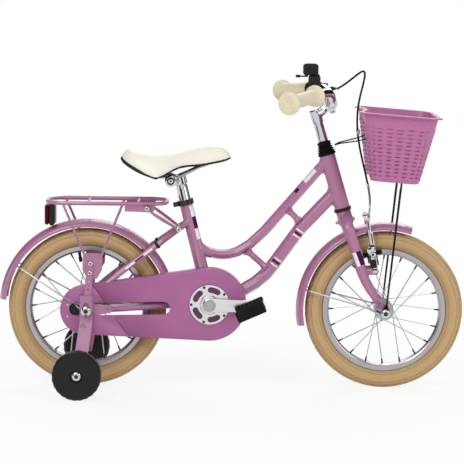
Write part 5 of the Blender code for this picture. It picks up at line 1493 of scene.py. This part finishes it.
@dataclass
class Chaincase:
    """Moulded chaincase with a rounded rim, rolled openings and a seam between its two halves."""

    rear: Pair = (-0.0037, 0.1735)
    front: Pair = (0.2695, 0.189)
    rear_radius: float = 0.0539
    front_radius: float = 0.0807
    back: float = -0.036
    outside: float = -0.0618
    rounding: float = 0.0055
    window: float = 0.0450
    slot: tuple[Pair, Pair] = ((-0.0235, 0.1762), (0.1690, 0.1805))
    slot_radius: float = 0.0142
    seam: tuple[Pair, Pair] = ((-0.005, 0.2560), (0.1120, 0.0900))
    gap: float = 0.0011
    wall: float = 0.0014

    def ring(self, turn: float) -> list[Vector]:
        """The outline at a turn of the rounded rim: 0 at its side, a quarter at its face.

        Args:
            turn: The turn in radians.

        Returns:
            The outline's points.
        """
        inset, back = (self.rounding * (1 - share) for share in (math.cos(turn), math.sin(turn)))
        spots = belt(self.rear, self.rear_radius - inset, self.front, self.front_radius - inset, 24)
        return [place(x, self.outside + back, z) for x, z in spots]

    def at_opening(self, edge: bmesh.types.BMEdge) -> bool:
        """Whether an edge of the face belongs to one of its openings.

        Args:
            edge: An open edge of the face.

        Returns:
            True at an opening.
        """
        spot = (edge.verts[0].co + edge.verts[1].co) / 2
        start, end, centre = (place(x, self.outside, z) for x, z in (*self.slot, self.front))
        along = max(0.0, min(1.0, (spot - start).dot(end - start) / (end - start).length_squared))
        at_slot = (spot - start.lerp(end, along)).length < self.slot_radius + 0.002
        return at_slot or (spot - centre).length < self.window + 0.002

    def face(self, outline: list[Vector]) -> Shape:
        """The pierced face.

        Args:
            outline: Its outer edge.

        Returns:
            The face, with the rolled edges of its openings.
        """
        centre = place(self.front[0], self.outside, self.front[1])
        window = [centre + outward(math.tau * k / 48, self.window) for k in range(48)]
        ends = belt(self.slot[0], self.slot_radius, self.slot[1], self.slot_radius, 12)
        slot = [place(x, self.outside, z) for x, z in ends]
        face = joined(ringed(loop) for loop in (outline, window, slot))
        bmesh.ops.triangle_fill(face, use_beauty=True, use_dissolve=False, edges=face.edges)
        rolled = [edge for edge in face.edges if edge.is_boundary and self.at_opening(edge)]
        grown = bmesh.ops.extrude_edge_only(face, edges=rolled)["geom"]
        bmesh.ops.translate(face, vec=SIDE * 0.0030, verts=verts_in(grown))
        return face

    def skin(self) -> Shape:
        """The outer skin: side, rounded rim and pierced face.

        Returns:
            The skin, with its faces pointing out.
        """
        rounded_rim = [self.ring(math.radians(15 * step)) for step in range(7)]
        side = [Vector((spot.x, self.back, spot.z)) for spot in rounded_rim[0]]
        bm = merged(lofted([side, *rounded_rim]), self.face(rounded_rim[-1]))
        bmesh.ops.remove_doubles(bm, verts=bm.verts, dist=SAME_PLACE)
        facing_out(bm)
        flat = max(bm.faces, key=lambda face: -face.calc_center_median().y)
        if flat.normal.y > 0:
            bmesh.ops.reverse_faces(bm, faces=bm.faces)
        return bm

    def painted_shade_strips(self, start: Vector, end: Vector, turn: Matrix) -> list[Shape]:
        """Dark strips behind the seam, above and below the slot, and at the slot's rear end: painted shade
        in these gaps.

        Args:
            start: The seam's upper end.
            end: Its lower end.
            turn: How the seam lies.

        Returns:
            Three strips.
        """
        strips = [block(place(-0.0290, self.outside + 0.0030, 0.1755), (0.0170, 0.0010, 0.0260))]
        for heights in ((0.1215, 0.1590), (0.1930, 0.2240)):
            low, high = (start + (end - start) * ((start.z - z) / (start.z - end.z)) for z in heights)
            middle = (low + high) / 2 + SIDE * (self.outside + 0.0020)
            strips.append(block(middle, ((high - low).length, 0.0010, 0.0032), turn=turn))
        return strips

    def build(self) -> None:
        """Builds both halves, cut apart along the seam, and the dark strips of painted shade behind it."""
        start, end = (place(x, 0.0, z) for x, z in self.seam)
        along = (end - start).normalized()
        ahead = Vector((-along.z, 0.0, along.x))
        for word, sign in (("front", 1.0), ("rear", -1.0)):
            bm = self.skin()
            cut = {"plane_co": start + ahead * (sign * self.gap / 2), "plane_no": ahead * sign}
            bmesh.ops.bisect_plane(bm, geom=[*bm.verts, *bm.edges, *bm.faces], clear_inner=True, **cut)
            node = f"chaincase_{word}"
            shell = finished(bm, f"{node}_shell", PINK_PLASTIC, "root", [node], 35)
            walled(shell, self.wall)
        turn = Matrix((along, SIDE, along.cross(SIDE))).transposed()
        # Black strips in the seam's gap and at the slot's end stand for the shade there: painted shade.
        strips = joined(self.painted_shade_strips(start, end, turn))
        finished(strips, "chaincase_painted_shade_strips", BLACK_PLASTIC, "root")


@dataclass
class Drive:
    """Cranks, spider disc, chain links and pedals.

    The disc's bean-shaped windows are given by radius, half width and half swing in degrees.
    """

    reach: float = 0.0889
    inner: float = 0.0660
    thick: float = 0.0125
    axle_end: float = 0.1600
    axle_radius: float = 0.0059
    disc_radius: float = 0.0438
    disc_out: float = -0.0633
    disc_wall: float = 0.003
    bean: tuple[float, float, float] = (0.0328, 0.0063, 14.5)
    bolt_circle: float = 0.0398
    spindle_radius: float = 0.0085
    hub_radius: float = 0.0158
    tip_radius: float = 0.0122
    pedal_wide: float = 0.084
    chain_line: float = -0.0415
    pitch: float = 0.0127
    sprocket_radius: float = 0.0338
    ring_radius: float = 0.0578
    roller_radius: float = 0.0036
    link_radius: float = 0.0041
    link_wall: float = 0.0008
    tilt: float = math.radians(-24.0)

    @property
    def out(self) -> float:
        """How far the cranks' outer faces are from the middle."""
        return self.inner + self.thick

    @property
    def hub(self) -> Pair:
        """The bottom bracket's place as (x from the rear axle, z)."""
        return (BRACKET.x - REAR_AXLE.x, BRACKET.z)

    def round_bracket(self, degrees: float, radius: float, y: float) -> Vector:
        """A point round the bottom bracket's axis."""
        return BRACKET + outward(math.radians(degrees), radius) + SIDE * y

    def tip(self, side: int) -> Vector:
        """The crank's end, in the bike's middle plane."""
        return BRACKET - AHEAD * (side * self.reach)

    def window(self, middle: float) -> list[Vector]:
        """The outline of one bean-shaped window of the disc, whose ends are round.

        Args:
            middle: The angle of its middle in degrees.

        Returns:
            Its points on the disc's outer face.
        """
        radius, half, swing = self.bean
        result = []
        for sign in (1, -1):
            for step in range(7):
                degrees = middle + sign * swing * (step / 3 - 1)
                result.append(self.round_bracket(degrees, radius + sign * half, self.disc_out))
            end = middle + sign * swing
            tip = self.round_bracket(end, radius, self.disc_out)
            start = math.radians(end) + (0.0 if sign > 0 else math.pi)
            result += [tip + outward(start + math.pi * step / 6, half) for step in range(1, 6)]
        return result

    def arm(self, side: int) -> list[Shape]:
        """One crank arm, a tapered bar with rounded edges, and its pedal's axle.

        Args:
            side: 1 on the rider's left, -1 on the right.

        Returns:
            The arm and the axle.
        """
        tip_spot = (self.hub[0] - side * self.reach, self.hub[1])
        spots = belt(self.hub, self.hub_radius, tip_spot, self.tip_radius, 16)
        bm = filled([place(x, side * self.inner, z) for x, z in spots], [], SIDE * (side * self.thick))
        rounded(bm, [edge for edge in bm.edges if edge.calc_face_angle(0.0) > math.radians(60)], 0.0028, 3)
        tip = self.tip(side)
        foot, end = (tip + SIDE * (side * y) for y in (self.out - 0.002, self.axle_end))
        return [bm, drum(foot, end, self.axle_radius, edge=0.0005)]

    def right(self) -> None:
        """Builds the right crank with its disc, cap and bolts, and the darkened backing behind the disc,
        which is painted shade.
        """
        outer = [self.round_bracket(7.5 * k, self.disc_radius, self.disc_out) for k in range(48)]
        disc = filled(outer, [self.window(72 * k) for k in range(5)], SIDE * self.disc_wall)
        flange = in_mm((8.8, -60.8), (21.5, -60.8), (21.5, -64), (20, -65.5), (19, -70), (8.8, -70))
        shapes = [disc, spun(flange, BRACKET, steps=48), *self.arm(-1)]
        finished(joined(shapes), "crank_right_forging", BUFFED, "crank", ["crank_right"])
        # The backing behind the disc's windows is darkened pink plastic: painted shade of the chaincase's
        # inner face.
        shield = in_mm((22.5, -59.6), (43.2, -59.6), (43.2, -58.6), (22.5, -58.6))
        finished(spun(shield, BRACKET, steps=48), "chainring_backing_painted_shade", SHADED_PINK_PLASTIC, "crank")
        rings = in_mm((0, 1.2), (9.6, 1.2), (10.2, 2.2), (12.8, 2.2), (13.5, 0.8), (13.5, -2), (0, -2))
        cap = spun([(radius, -self.out - y) for radius, y in rings], BRACKET, steps=40, closed=False)
        finished(cap, "crank_right_cap", ZINC, "crank")
        spots = [self.round_bracket(36 + 72 * k, self.bolt_circle, self.disc_out) for k in range(5)]
        bolts = [drum(spot - SIDE * 0.0016, spot + SIDE * 0.001, 0.0030, 20, edge=0.0004) for spot in spots]
        finished(joined(bolts), "crank_right_bolts", BLACK_PAINT, "crank")

    def left(self) -> None:
        """Builds the left crank with the spindle."""
        barrel = in_mm((8, 35.6), (16.5, 35.6), (17.2, 36.8), (17.2, 60))
        head = [(radius, self.out + y) for radius, y in in_mm((18.5, -4), (18.5, 1.4), (17, 2.8), (8, 2.8))]
        boss = spun(barrel + head, BRACKET, steps=40)
        ends = (BRACKET - SIDE * (self.out - 0.0046), BRACKET + SIDE * (self.out - 0.002))
        shapes = [boss, drum(*ends, self.spindle_radius, 32, edge=0.0004), *self.arm(1)]
        finished(joined(shapes), "crank_left_forging", BUFFED, "crank", ["crank_left"])

    def pedal(self, word: str, side: int) -> None:
        """Builds one pedal: a rounded body with treads, an end boss and a lens front and back.

        Args:
            word: Which one it is.
            side: 1 on the rider's left, -1 on the right.
        """
        wide, node = self.pedal_wide, f"pedal_{word}"
        middle = self.tip(side) + SIDE * (side * (self.out + 0.005) + side * wide / 2)
        turn = Matrix.Rotation(self.tilt, 3, "Y")

        def bar(spot: tuple[float, float, float], size: tuple[float, float, float], edge: float) -> Shape:
            """A block at a spot of the tilted pedal."""
            return block(middle + turn @ Vector(spot), size, edge, turn)

        parts = [bar((0.0, 0.0, 0.0), (0.0605, wide - 0.006, 0.0180), 0.0030)]
        for along in (-0.0258 + 0.0086 * row for row in range(7)):
            for up in (-0.0115, 0.0115):
                parts.append(bar((along, 0.0, up), (0.0040, wide - 0.024, 0.0044), 0.0008))
        ends = (0.0060 - wide / 2, wide / 2 - 0.0060)
        parts += [bar((0.0, end, 0.0), (0.0655, 0.0120, 0.0245), 0.0034) for end in ends]
        ring = in_mm((6, -1), (6, 0.4), (7.2, 1.4), (9.2, 1.4), (10, -1))
        parts.append(spun([(radius, side * (wide / 2 + y)) for radius, y in ring], middle, steps=32))
        finished(joined(parts), f"{node}_body", MATT_BLACK, node, [node], 35)
        lenses = [bar((along, 0.0, 0.0), (0.0030, 0.056, 0.0125), 0.0008) for along in (-0.0318, 0.0318)]
        finished(joined(lenses), f"{node}_lenses", WHITE_LENS, node)

    def pins(self) -> list[Vector]:
        """The chain's pins, evenly spaced round the belt of both toothed wheels.

        Returns:
            Their centres.
        """
        line = belt((0.0, REAR_AXLE.z), self.sprocket_radius, self.hub, self.ring_radius, 60)
        points = [place(x, self.chain_line, z) for x, z in line]
        lengths = [0.0]
        for a, b in zip(points, points[1:] + points[:1]):
            lengths.append(lengths[-1] + (b - a).length)
        links = round(lengths[-1] / self.pitch / 2) * 2
        result = []
        for want in (lengths[-1] * link / links for link in range(links)):
            index = next(i for i in range(len(points)) if lengths[i + 1] >= want)
            part = (want - lengths[index]) / (lengths[index + 1] - lengths[index])
            result.append(points[index].lerp(points[(index + 1) % len(points)], part))
        return result

    def chain(self) -> None:
        """Builds the chain's rollers and link plates, narrow and wide by turns."""
        pins, parts = self.pins(), []
        for link, (a, b) in enumerate(zip(pins, pins[1:] + pins[:1])):
            parts.append(drum(a - SIDE * 0.0032, a + SIDE * 0.0032, self.roller_radius, 10))
            offset = 0.0031 if link % 2 else 0.0021
            first, second = ((pin.x - REAR_AXLE.x, pin.z) for pin in (a, b))
            outline = belt(first, self.link_radius, second, self.link_radius - 0.00001, 4)
            for side in (-1, 1):
                plate = [place(x, self.chain_line + side * offset, z) for x, z in outline]
                parts.append(filled(plate, [], SIDE * (side * self.link_wall)))
        finished(joined(parts), "chain_links", ZINC, "root", ["chain"], 30)

    def build(self) -> None:
        """Builds the drive."""
        self.right()
        self.left()
        for word, side in SIDES:
            self.pedal(word, side)
        self.chain()


@dataclass
class TrainingWheel:
    """Moulded training wheel with a ribbed tread and a dished face, and the boss of its bracket."""

    word: str
    side: int
    inner: float = 0.175
    outer: float = 0.210
    tread_foot: float = 0.0515

    def raised(self, spot: Vector) -> bool:
        """Whether a place from the hub lies on one of the tread's ribs, which take two steps of three."""
        step = int(math.degrees(math.atan2(spot.z, spot.x)) % 360 / 5)
        return math.hypot(spot.x, spot.z) > self.tread_foot and step % 3 > 0

    def build(self) -> None:
        """Builds the wheel and the boss."""
        hub = at(-12.5, 0, 53)
        back = in_mm((5.2, 0), (13, 0), (14, 2), (40, 2), (41.5, 0.3), (48, 0.3))
        back += in_mm((50.6, 2.2), (52, 5), (52.2, 15))
        tread = in_mm((52.2, 15), (52, 5), (51, 1.8), (50, 0.6), (48.5, 0.1))
        face = in_mm((16, 0.1), (14, 0.8), (13.4, 5.5), (5.2, 5.5))
        profile = [(radius, self.side * (self.inner + y)) for radius, y in back]
        profile += [(radius, self.side * (self.outer - y)) for radius, y in tread + face]
        bm = spun(profile, hub, steps=72)
        ribs = [rib for rib in bm.faces if self.raised(rib.calc_center_median() - hub)]
        bmesh.ops.inset_region(bm, faces=ribs, thickness=0.0004, depth=0.0007, use_even_offset=True)
        node = f"training_wheel_{self.word}"
        finished(bm, f"{node}_moulding", BLACK_PLASTIC, node, [node], 30)
        lean = Vector((0.0, self.side * 0.5142, 0.8576))
        dome = in_mm((0.1, 5), (2.6, 4.7), (4.8, 3.6), (6.2, 1.8), (6.8, 0))
        boss = spun(dome, at(-5.6, self.side * 79.1, 140.8) - lean * 0.0004, lean, 28)
        finished(boss, f"bracket_boss_{self.word}", PINK_PAINT, "root")


@dataclass
class Cockpit:
    """Small pieces round stem and bar: ribbed head cap, crown bolt, bell plate, cable and fittings."""

    ribs: int = 4
    route: tuple[tuple[float, float, float], ...] = (
        (559, 90.5, 662),
        (574, 79, 674),
        (590, 68.5, 688),
        (600.5, 60.5, 696),
        (606, 52.5, 696.2),
        (606.6, 45, 687),
        (602.5, 37, 668),
        (596.5, 28, 645),
        (591.5, 19, 620),
        (589.5, 11, 592),
        (591, 4, 562),
        (596, -2, 530),
        (603.5, -7, 497),
        (610.5, -9.5, 468),
    )

    def head_cap(self) -> None:
        """Builds the ribbed rubber boot over the head's upper end."""
        profile = in_mm((12.8, 0), (18.4, 0), (19.6, 1), (19.6, 4.6))
        for rib in range(self.ribs):
            radius, foot = 19.2 - 1.2 * rib, 6 + 4.6 * rib
            profile += in_mm((radius - 2.6, foot), (radius, foot + 1))
            profile += in_mm((radius, foot + 2.6), (radius - 2.8, foot + 3.6))
        profile += in_mm((14.6, 25), (15, 25.8), (15, 28.6), (14.3, 29.5))
        profile += in_mm((11.5, 29.5), (11.5, 22.6), (12.8, 22.6))
        bm = spun([(radius, 0.1213 + z) for radius, z in profile], HEAD_FOOT, HEAD_UP, 48)
        finished(bm, "head_cap_boot", BLACK_RUBBER, "steering", ["head_cap"], 40)

    def crown_bolt(self) -> None:
        """Builds the ends of the bolt through the fork crown that holds the mudguard."""
        spot = HEAD_FOOT - HEAD_UP * 0.0293
        spans = ((-0.0158, -0.0205, 0.0042, 16, 0.0006), (0.0158, 0.0205, 0.0042, 16, 0.0006))
        ends = joined(
            drum(spot + HEAD_FORE * start, spot + HEAD_FORE * end, radius, steps, edge=edge)
            for start, end, radius, steps, edge in (*spans, (-0.0203, -0.0236, 0.0026, 12, 0.0))
        )
        finished(ends, "crown_bolt", ZINC, "steering")

    def bell_fittings(self) -> None:
        """Builds the bell's saddle block on the bar, its striker housing and the plate on its top."""
        shapes = [block(at(498.5, 111.5, 671.5), (0.0270, 0.0180, 0.0240), 0.0040)]
        shapes += [block(at(479 + 7.4 * k, 98.5, 697.5), (0.0030, 0.0016, 0.0200), 0.0006) for k in range(4)]
        finished(joined(shapes), "bell_saddle", BLACK_PLASTIC, "steering")
        plate = block(at(490, 112, 710.4), (0.020, 0.018, 0.0012), 0.0004)
        finished(plate, "bell_plate", BLACK_PAINT, "steering")

    def cable(self) -> None:
        """Builds the brake cable's cover along its route, with its end ferrules."""
        inner, outer = Vector(GRIP_INNER), Vector(GRIP_OUTER)
        bar = (inner - outer).normalized()
        forward = Vector((-bar.y, bar.x, 0.0)).normalized()
        nose = place(*(inner + bar * 0.022 + forward * 0.036 + UP * -0.001))
        start = nose + bar * 0.0278
        noodle, below = at(615.8, -12.8, 443), at(616.8, -15, 437.2)
        back = (noodle - below).normalized()
        spots = [start, start + bar * 0.008, *(at(*spot) for spot in self.route)]
        line = curve([*spots, noodle + back * 0.008, noodle + back * 0.0003], 4)
        bm = piped(line, [0.0022] * len(line))
        piece = finished(
            bm, "brake_cable_cover", BLACK_RUBBER, "steering", ["brake_cable"], 60
        )
        ferrules = [drum(start + bar * 0.0002, start + bar * 0.0115, 0.0029, 18, edge=0.0005)]
        ferrules.append(drum(noodle + back * 0.0004, noodle + back * 0.013, 0.0029, 18, edge=0.0005))
        ends = finished(joined(ferrules), "brake_cable_ferrules", ZINC, "steering")

    def build(self) -> None:
        """Builds them all."""
        self.head_cap()
        self.crown_bolt()
        self.bell_fittings()
        self.cable()


@dataclass(frozen=True)
class Fastener:
    """A plated nut or bolt head whose socket holds a dark plug of painted shade, facing out on one side or
    on both, in mm.
    """

    name: str
    spot: tuple[float, float, float]
    radius: float
    socket: float
    height: float
    body: str = "root"
    sides: tuple[int, ...] = (-1, 1)

    def build(self) -> None:
        """Builds its ring and the dark plug inside, which is painted shade in the socket."""
        x, y, z = self.spot
        centre = at(x, 0, z)
        hole, radius = self.socket, self.radius
        crown = ((radius, 0.0), (radius, 0.45), (radius * 0.86, 0.8), (radius * 0.66, 1.0))
        steps = ((hole, 0.0), *crown, (hole, 1.0))
        ring = in_mm(*((out, y + self.height * share) for out, share in steps))
        rings = joined(spun([(r, side * up) for r, up in ring], centre, steps=32) for side in self.sides)
        finished(rings, f"{self.name}_head", CHROME, self.body)
        low, high = SIDE * (y * MM), SIDE * ((y + self.height * 0.75) * MM)
        wide = self.socket * MM + 0.0002
        # The dark plug fills the socket's hollow: painted shade.
        socket_shade = joined(drum(centre + low * side, centre + high * side, wide, 20) for side in self.sides)
        finished(socket_shade, f"{self.name}_socket", BLACK_PAINT, self.body)


FASTENERS = (
    Fastener("rack_leg_upper_bolt", (9.2, 69, 277.5), 5, 2.1, 2.4),
    Fastener("rack_leg_lower_bolt", (7.9, 69, 257), 5, 2.1, 2.4),
    Fastener("rack_stay_bolt", (131.2, 62.5, 398.5), 5.4, 2, 2.6),
    Fastener("seat_lug_bolt", (200, 35.4, 350.5), 5.8, 2.1, 2.6),
    Fastener("rear_wheel_nut", (0, 78.5, 174), 10.8, 5, 5),
    Fastener("front_wheel_nut", (655, 67.4, 174), 9.8, 4.8, 4.6, "steering"),
    Fastener("training_wheel_nut", (-12.5, 204.6, 53), 10.4, 4.4, 5.2),
    Fastener("case_screw_upper", (-40.8, 61.6, 185.2), 2.4, 0.5, 1, sides=(-1,)),
    Fastener("case_screw_lower", (-40.8, 61.6, 159.2), 2.4, 0.5, 1, sides=(-1,)),
    Fastener("saddle_clamp_washer", (181.6, 29, 456.5), 13.2, 9.2, 2.6, "saddle"),
    Fastener("saddle_clamp_nut", (181.6, 30, 456.5), 6.2, 2.2, 4, "saddle"),
)

Trim = tuple[tuple[float, float, float], tuple[float, float, float], float]


@dataclass
class BrakeTrim:
    """What sits on the front brake's arms: cheek plates, dark blocks and the pad's nut.

    Blocks are given in millimetres: where (forward of the arm's pivot, up along the arm, out), size
    and rounding.
    """

    pivot: Pair = (0.632, 0.2627)
    tilt: float = math.radians(9.2)
    cheeks: tuple[Trim, ...] = (
        ((-1, 42, 42.5), (15, 3.4, 30), 1.6),
        ((3.5, 73, 42.5), (8, 3.4, 32), 1.2),
        ((6, 20, 44), (3, 3, 36), 1),
    )
    darks: tuple[Trim, ...] = (
        ((-1, 18, 40), (15, 12, 18), 2.5),
        ((-7.5, 40, 34.5), (6, 12, 15), 1.5),
        ((1, 58, 43.4), (11, 3, 5), 1),
        ((-4.5, 53, 44.2), (7, 1, 4.2), 0.3),
        ((4.8, 33, 44.4), (3, 1.2, 18), 0.3),
        ((-6.5, 33, 44), (3, 2, 13), 0.3),
        ((3.5, 74, 44.2), (2.4, 1.2, 23), 0.3),
        ((0, 104, 41.1), (2.6, 1.2, 22), 0.3),
    )

    def spot(self, fore: float, up: float, y: float) -> Vector:
        """A point from the arm's pivot, forward and up along the arm, in millimetres.

        Args:
            fore: How far it is forward.
            up: How far it is up.
            y: Where it is across the bike.

        Returns:
            The point, in metres.
        """
        fore, up = fore * MM, up * MM
        lean, rise = math.sin(self.tilt), math.cos(self.tilt)
        x = self.pivot[0] + fore * rise - up * lean
        z = self.pivot[1] + fore * lean + up * rise
        return place(x, y * MM, z)

    def plates(self, rows: Iterable[Trim], side: int) -> list[Shape]:
        """The blocks of one side.

        Args:
            rows: The blocks' table.
            side: 1 on the rider's left, -1 on the right.

        Returns:
            The blocks.
        """
        turn = Matrix.Rotation(-self.tilt, 3, "Y")
        return [
            block(self.spot(fore, up, side * y), [width * MM for width in size], edge * MM, turn)
            for (fore, up, y), size, edge in rows
        ]

    def stud(self, fore: float, up: float, span: Pair, radius: float, **settings: float) -> Shape:
        """A round piece across an arm."""
        return drum(*(self.spot(fore, up, y) for y in span), radius, **settings)

    def build(self) -> None:
        """Builds both sides."""
        for word, side in SIDES:
            body = f"brake_arm_{word}"
            drums = self.stud(-1.5, 49, (side * 41, side * 44.1), 0.0098, steps=28, edge=0.0008)
            cheeks = joined([*self.plates(self.cheeks, side), drums])
            finished(cheeks, f"{body}_cheeks", CHROME, body)
            end = self.stud(0, 39, (side * 44, side * 47), 0.0030, steps=16)
            housing = joined([*self.plates(self.darks, side), end])
            finished(housing, f"{body}_spring_housing", BLACK_PLASTIC, body)
            ring = in_mm((2.8, 44), (6.8, 44), (6.8, 46.2), (5.2, 47.8), (2.8, 47.8))
            nut = spun([(radius, side * y) for radius, y in ring], self.spot(0, 39, 0), steps=28)
            finished(nut, f"{body}_pad_nut", CHROME, body)


@dataclass
class Welds:
    """The smooth fillets where the frame's tubes meet, and the clips on the seatstays."""

    joints: tuple[tuple[Pair, Pair, float, float], ...] = (
        ((0.3450, 0.3070), (0.4010, 0.2575), 0.0080, 0.0150),
        ((0.4010, 0.2575), (0.3450, 0.3070), 0.0105, 0.0150),
        ((0.4340, 0.3990), (0.4720, 0.3615), 0.0080, 0.0130),
        ((0.4720, 0.3615), (0.4340, 0.3990), 0.0105, 0.0130),
    )
    corners: tuple[tuple[Pair, Pair, Pair], ...] = (
        ((0.5178, 0.4818), (0.5224, 0.4664), (0.5073, 0.4697)),
        ((0.5113, 0.5035), (0.5073, 0.5170), (0.5008, 0.4915)),
        ((0.5306, 0.4391), (0.5260, 0.4544), (0.5193, 0.4277)),
        ((0.5392, 0.4103), (0.5426, 0.3988), (0.5294, 0.4003)),
        ((0.2513, 0.3147), (0.2474, 0.3302), (0.2659, 0.3081)),
        ((0.2573, 0.2909), (0.2608, 0.2774), (0.2719, 0.2844)),
    )
    half: float = 0.0050

    def flare(self, start: Pair, towards: Pair, first: float, length: float) -> Shape:
        """The flare at one end of a bridge.

        Args:
            start: Where the bridge's middle line starts.
            towards: Where it goes.
            first: How far from the start the flare begins.
            length: Its length.

        Returns:
            The flare.
        """
        foot, aim = (place(x, 0.0, z) for x, z in (start, towards))
        growth = 0.0070 if length > 0.0140 else 0.0065
        shares = [step / 8 for step in range(9)]
        curved = [(0.0068 - 0.0002 + growth * (1 - share) ** 2, first + length * share) for share in shares]
        profile = [(0.0, first), *curved, (0.0, first + length)]
        return spun(profile, foot, (aim - foot).normalized(), 32, closed=False)

    def corner(self, inner: Pair, first: Pair, last: Pair) -> Shape:
        """Fills the corner between two tubes with a hollow curve from one edge to the other.

        Args:
            inner: The corner.
            first: Where the curve starts.
            last: Where it ends.

        Returns:
            The fillet.
        """
        a, b, c = (place(x, -self.half, z) for x, z in (first, inner, last))
        line = [a * (1 - t) ** 2 + b * (2 * t * (1 - t)) + c * t**2 for t in (step / 8 for step in range(9))]
        back = b * 2 - (a + c) / 2
        return filled([*line, b + (back - b).normalized() * 0.003], [], SIDE * (2 * self.half))

    def build(self) -> None:
        """Builds the fillets and the clips."""
        shapes = [self.flare(*joint) for joint in self.joints]
        shapes += [self.corner(*spots) for spots in self.corners]
        finished(joined(shapes), "frame_welds", PINK_PAINT, "root", sharp=60)
        tie = Vector((0.8, 0.0, 0.6)).normalized() * 0.0030
        spots = [at(153.5, side * 33.3, 316.1) for side in (-1, 1)]
        clips = joined(drum(spot - tie, spot + tie, 0.0086, 20, edge=0.0006) for spot in spots)
        finished(clips, "seatstay_clips", BLACK_PLASTIC, "root")


def both(name: str) -> tuple[str, str]:
    """The right and the left node of a pair."""
    return f"{name}_right", f"{name}_left"


CARRIED = (
    Carried(FRAME_PAINT, "pink_paint", 40, ("frame",)),
    Carried(FORK_PAINT, "pink_paint", 40, ("fork",)),
    Carried(PINK_PAINT, "pink_paint", 40, ("rack",)),
    Carried(PINK_PAINT, "pink_paint", 35, both("rack_strut"), edge=0.0003),
    Carried(PINK_PAINT, "pink_paint", 50, both("rack_stay")),
    Carried(PINK_PAINT, "pink_paint", 35, both("training_bracket")),
    Carried(ZINC, "zinc_steel", 50, ("front_guard_stay",)),
    Carried(BLACK_PLASTIC, "black_plastic", 35, ("saddle_base", "lever_perch")),
    Carried(BLACK_PLASTIC, "black_plastic", 45, ("brake_lever",)),
    Carried(BLACK_PLASTIC, "black_plastic", 35, ("bell", "bell_lever", "rear_light_housing")),
    Carried(RED_LENS, "red_lens", 35, ("rear_light_lens",)),
    Carried(BLACK_PLASTIC, "black_plastic", 35, ("head_lower_cup",)),
    Carried(BLACK_PAINT, "black_metal", 35, ("seat_clamp",)),
    Carried(BLACK_LACQUER, "black_metal", 50, ("basket_bracket",)),
    Carried(BLACK_RUBBER, "black_rubber", 35, both("brake_pad")),
    Carried(CHROME, "chrome", 60, ("handlebar",)),
    Carried(CHROME, "chrome", 40, ("stem",)),
    Carried(CHROME, "chrome", 35, ("seatpost", *both("brake_arm"))),
    Carried(ALUMINIUM, "aluminium", 35, ("chainring",)),
    Carried(ZINC, "zinc_steel", 35, ("front_axle", "rear_axle"), edge=0.0002),
    Carried(ZINC, "zinc_steel", 50, ("rear_guard_stay",)),
    Carried(ZINC, "zinc_steel", 35, ("rear_sprocket",)),
    Carried(ZINC, "zinc_steel", 50, ("coaster_arm",)),
    Carried(ZINC, "zinc_steel", 60, ("brake_noodle",)),
    Carried(CHROME, "zinc_steel", 35, ("saddle_clamp",)),
    Carried(ZINC, "zinc_steel", 60, ("saddle_rails",)),
    Carried(BLACK_LACQUER, "black_metal", 50, ("basket_stay",), coat=0.0006),
)


def main() -> None:
    """Builds the dressed bike and its studio."""
    logging.basicConfig(level=logging.INFO, format="%(message)s")
    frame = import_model()
    guards = (
        Mudguard("rear_guard", REAR_AXLE, (5.0, 175.0)),
        Mudguard("front_guard", FRONT_AXLE, (72.0, 191.0), "steering"),
    )
    grips = [Grip(word, side) for word, side in SIDES]
    training = [TrainingWheel(word, side) for word, side in SIDES]
    pieces = (*wheels(), *guards, Basket(), Saddle(), *grips, Chaincase(), Drive(), *training, Cockpit())
    for piece in (*pieces, *FASTENERS, BrakeTrim(), Welds()):
        piece.build()
    for carried in CARRIED:
        carried.build(frame["nodes"])
    Studio().build()


if __name__ == "__main__":
    main()
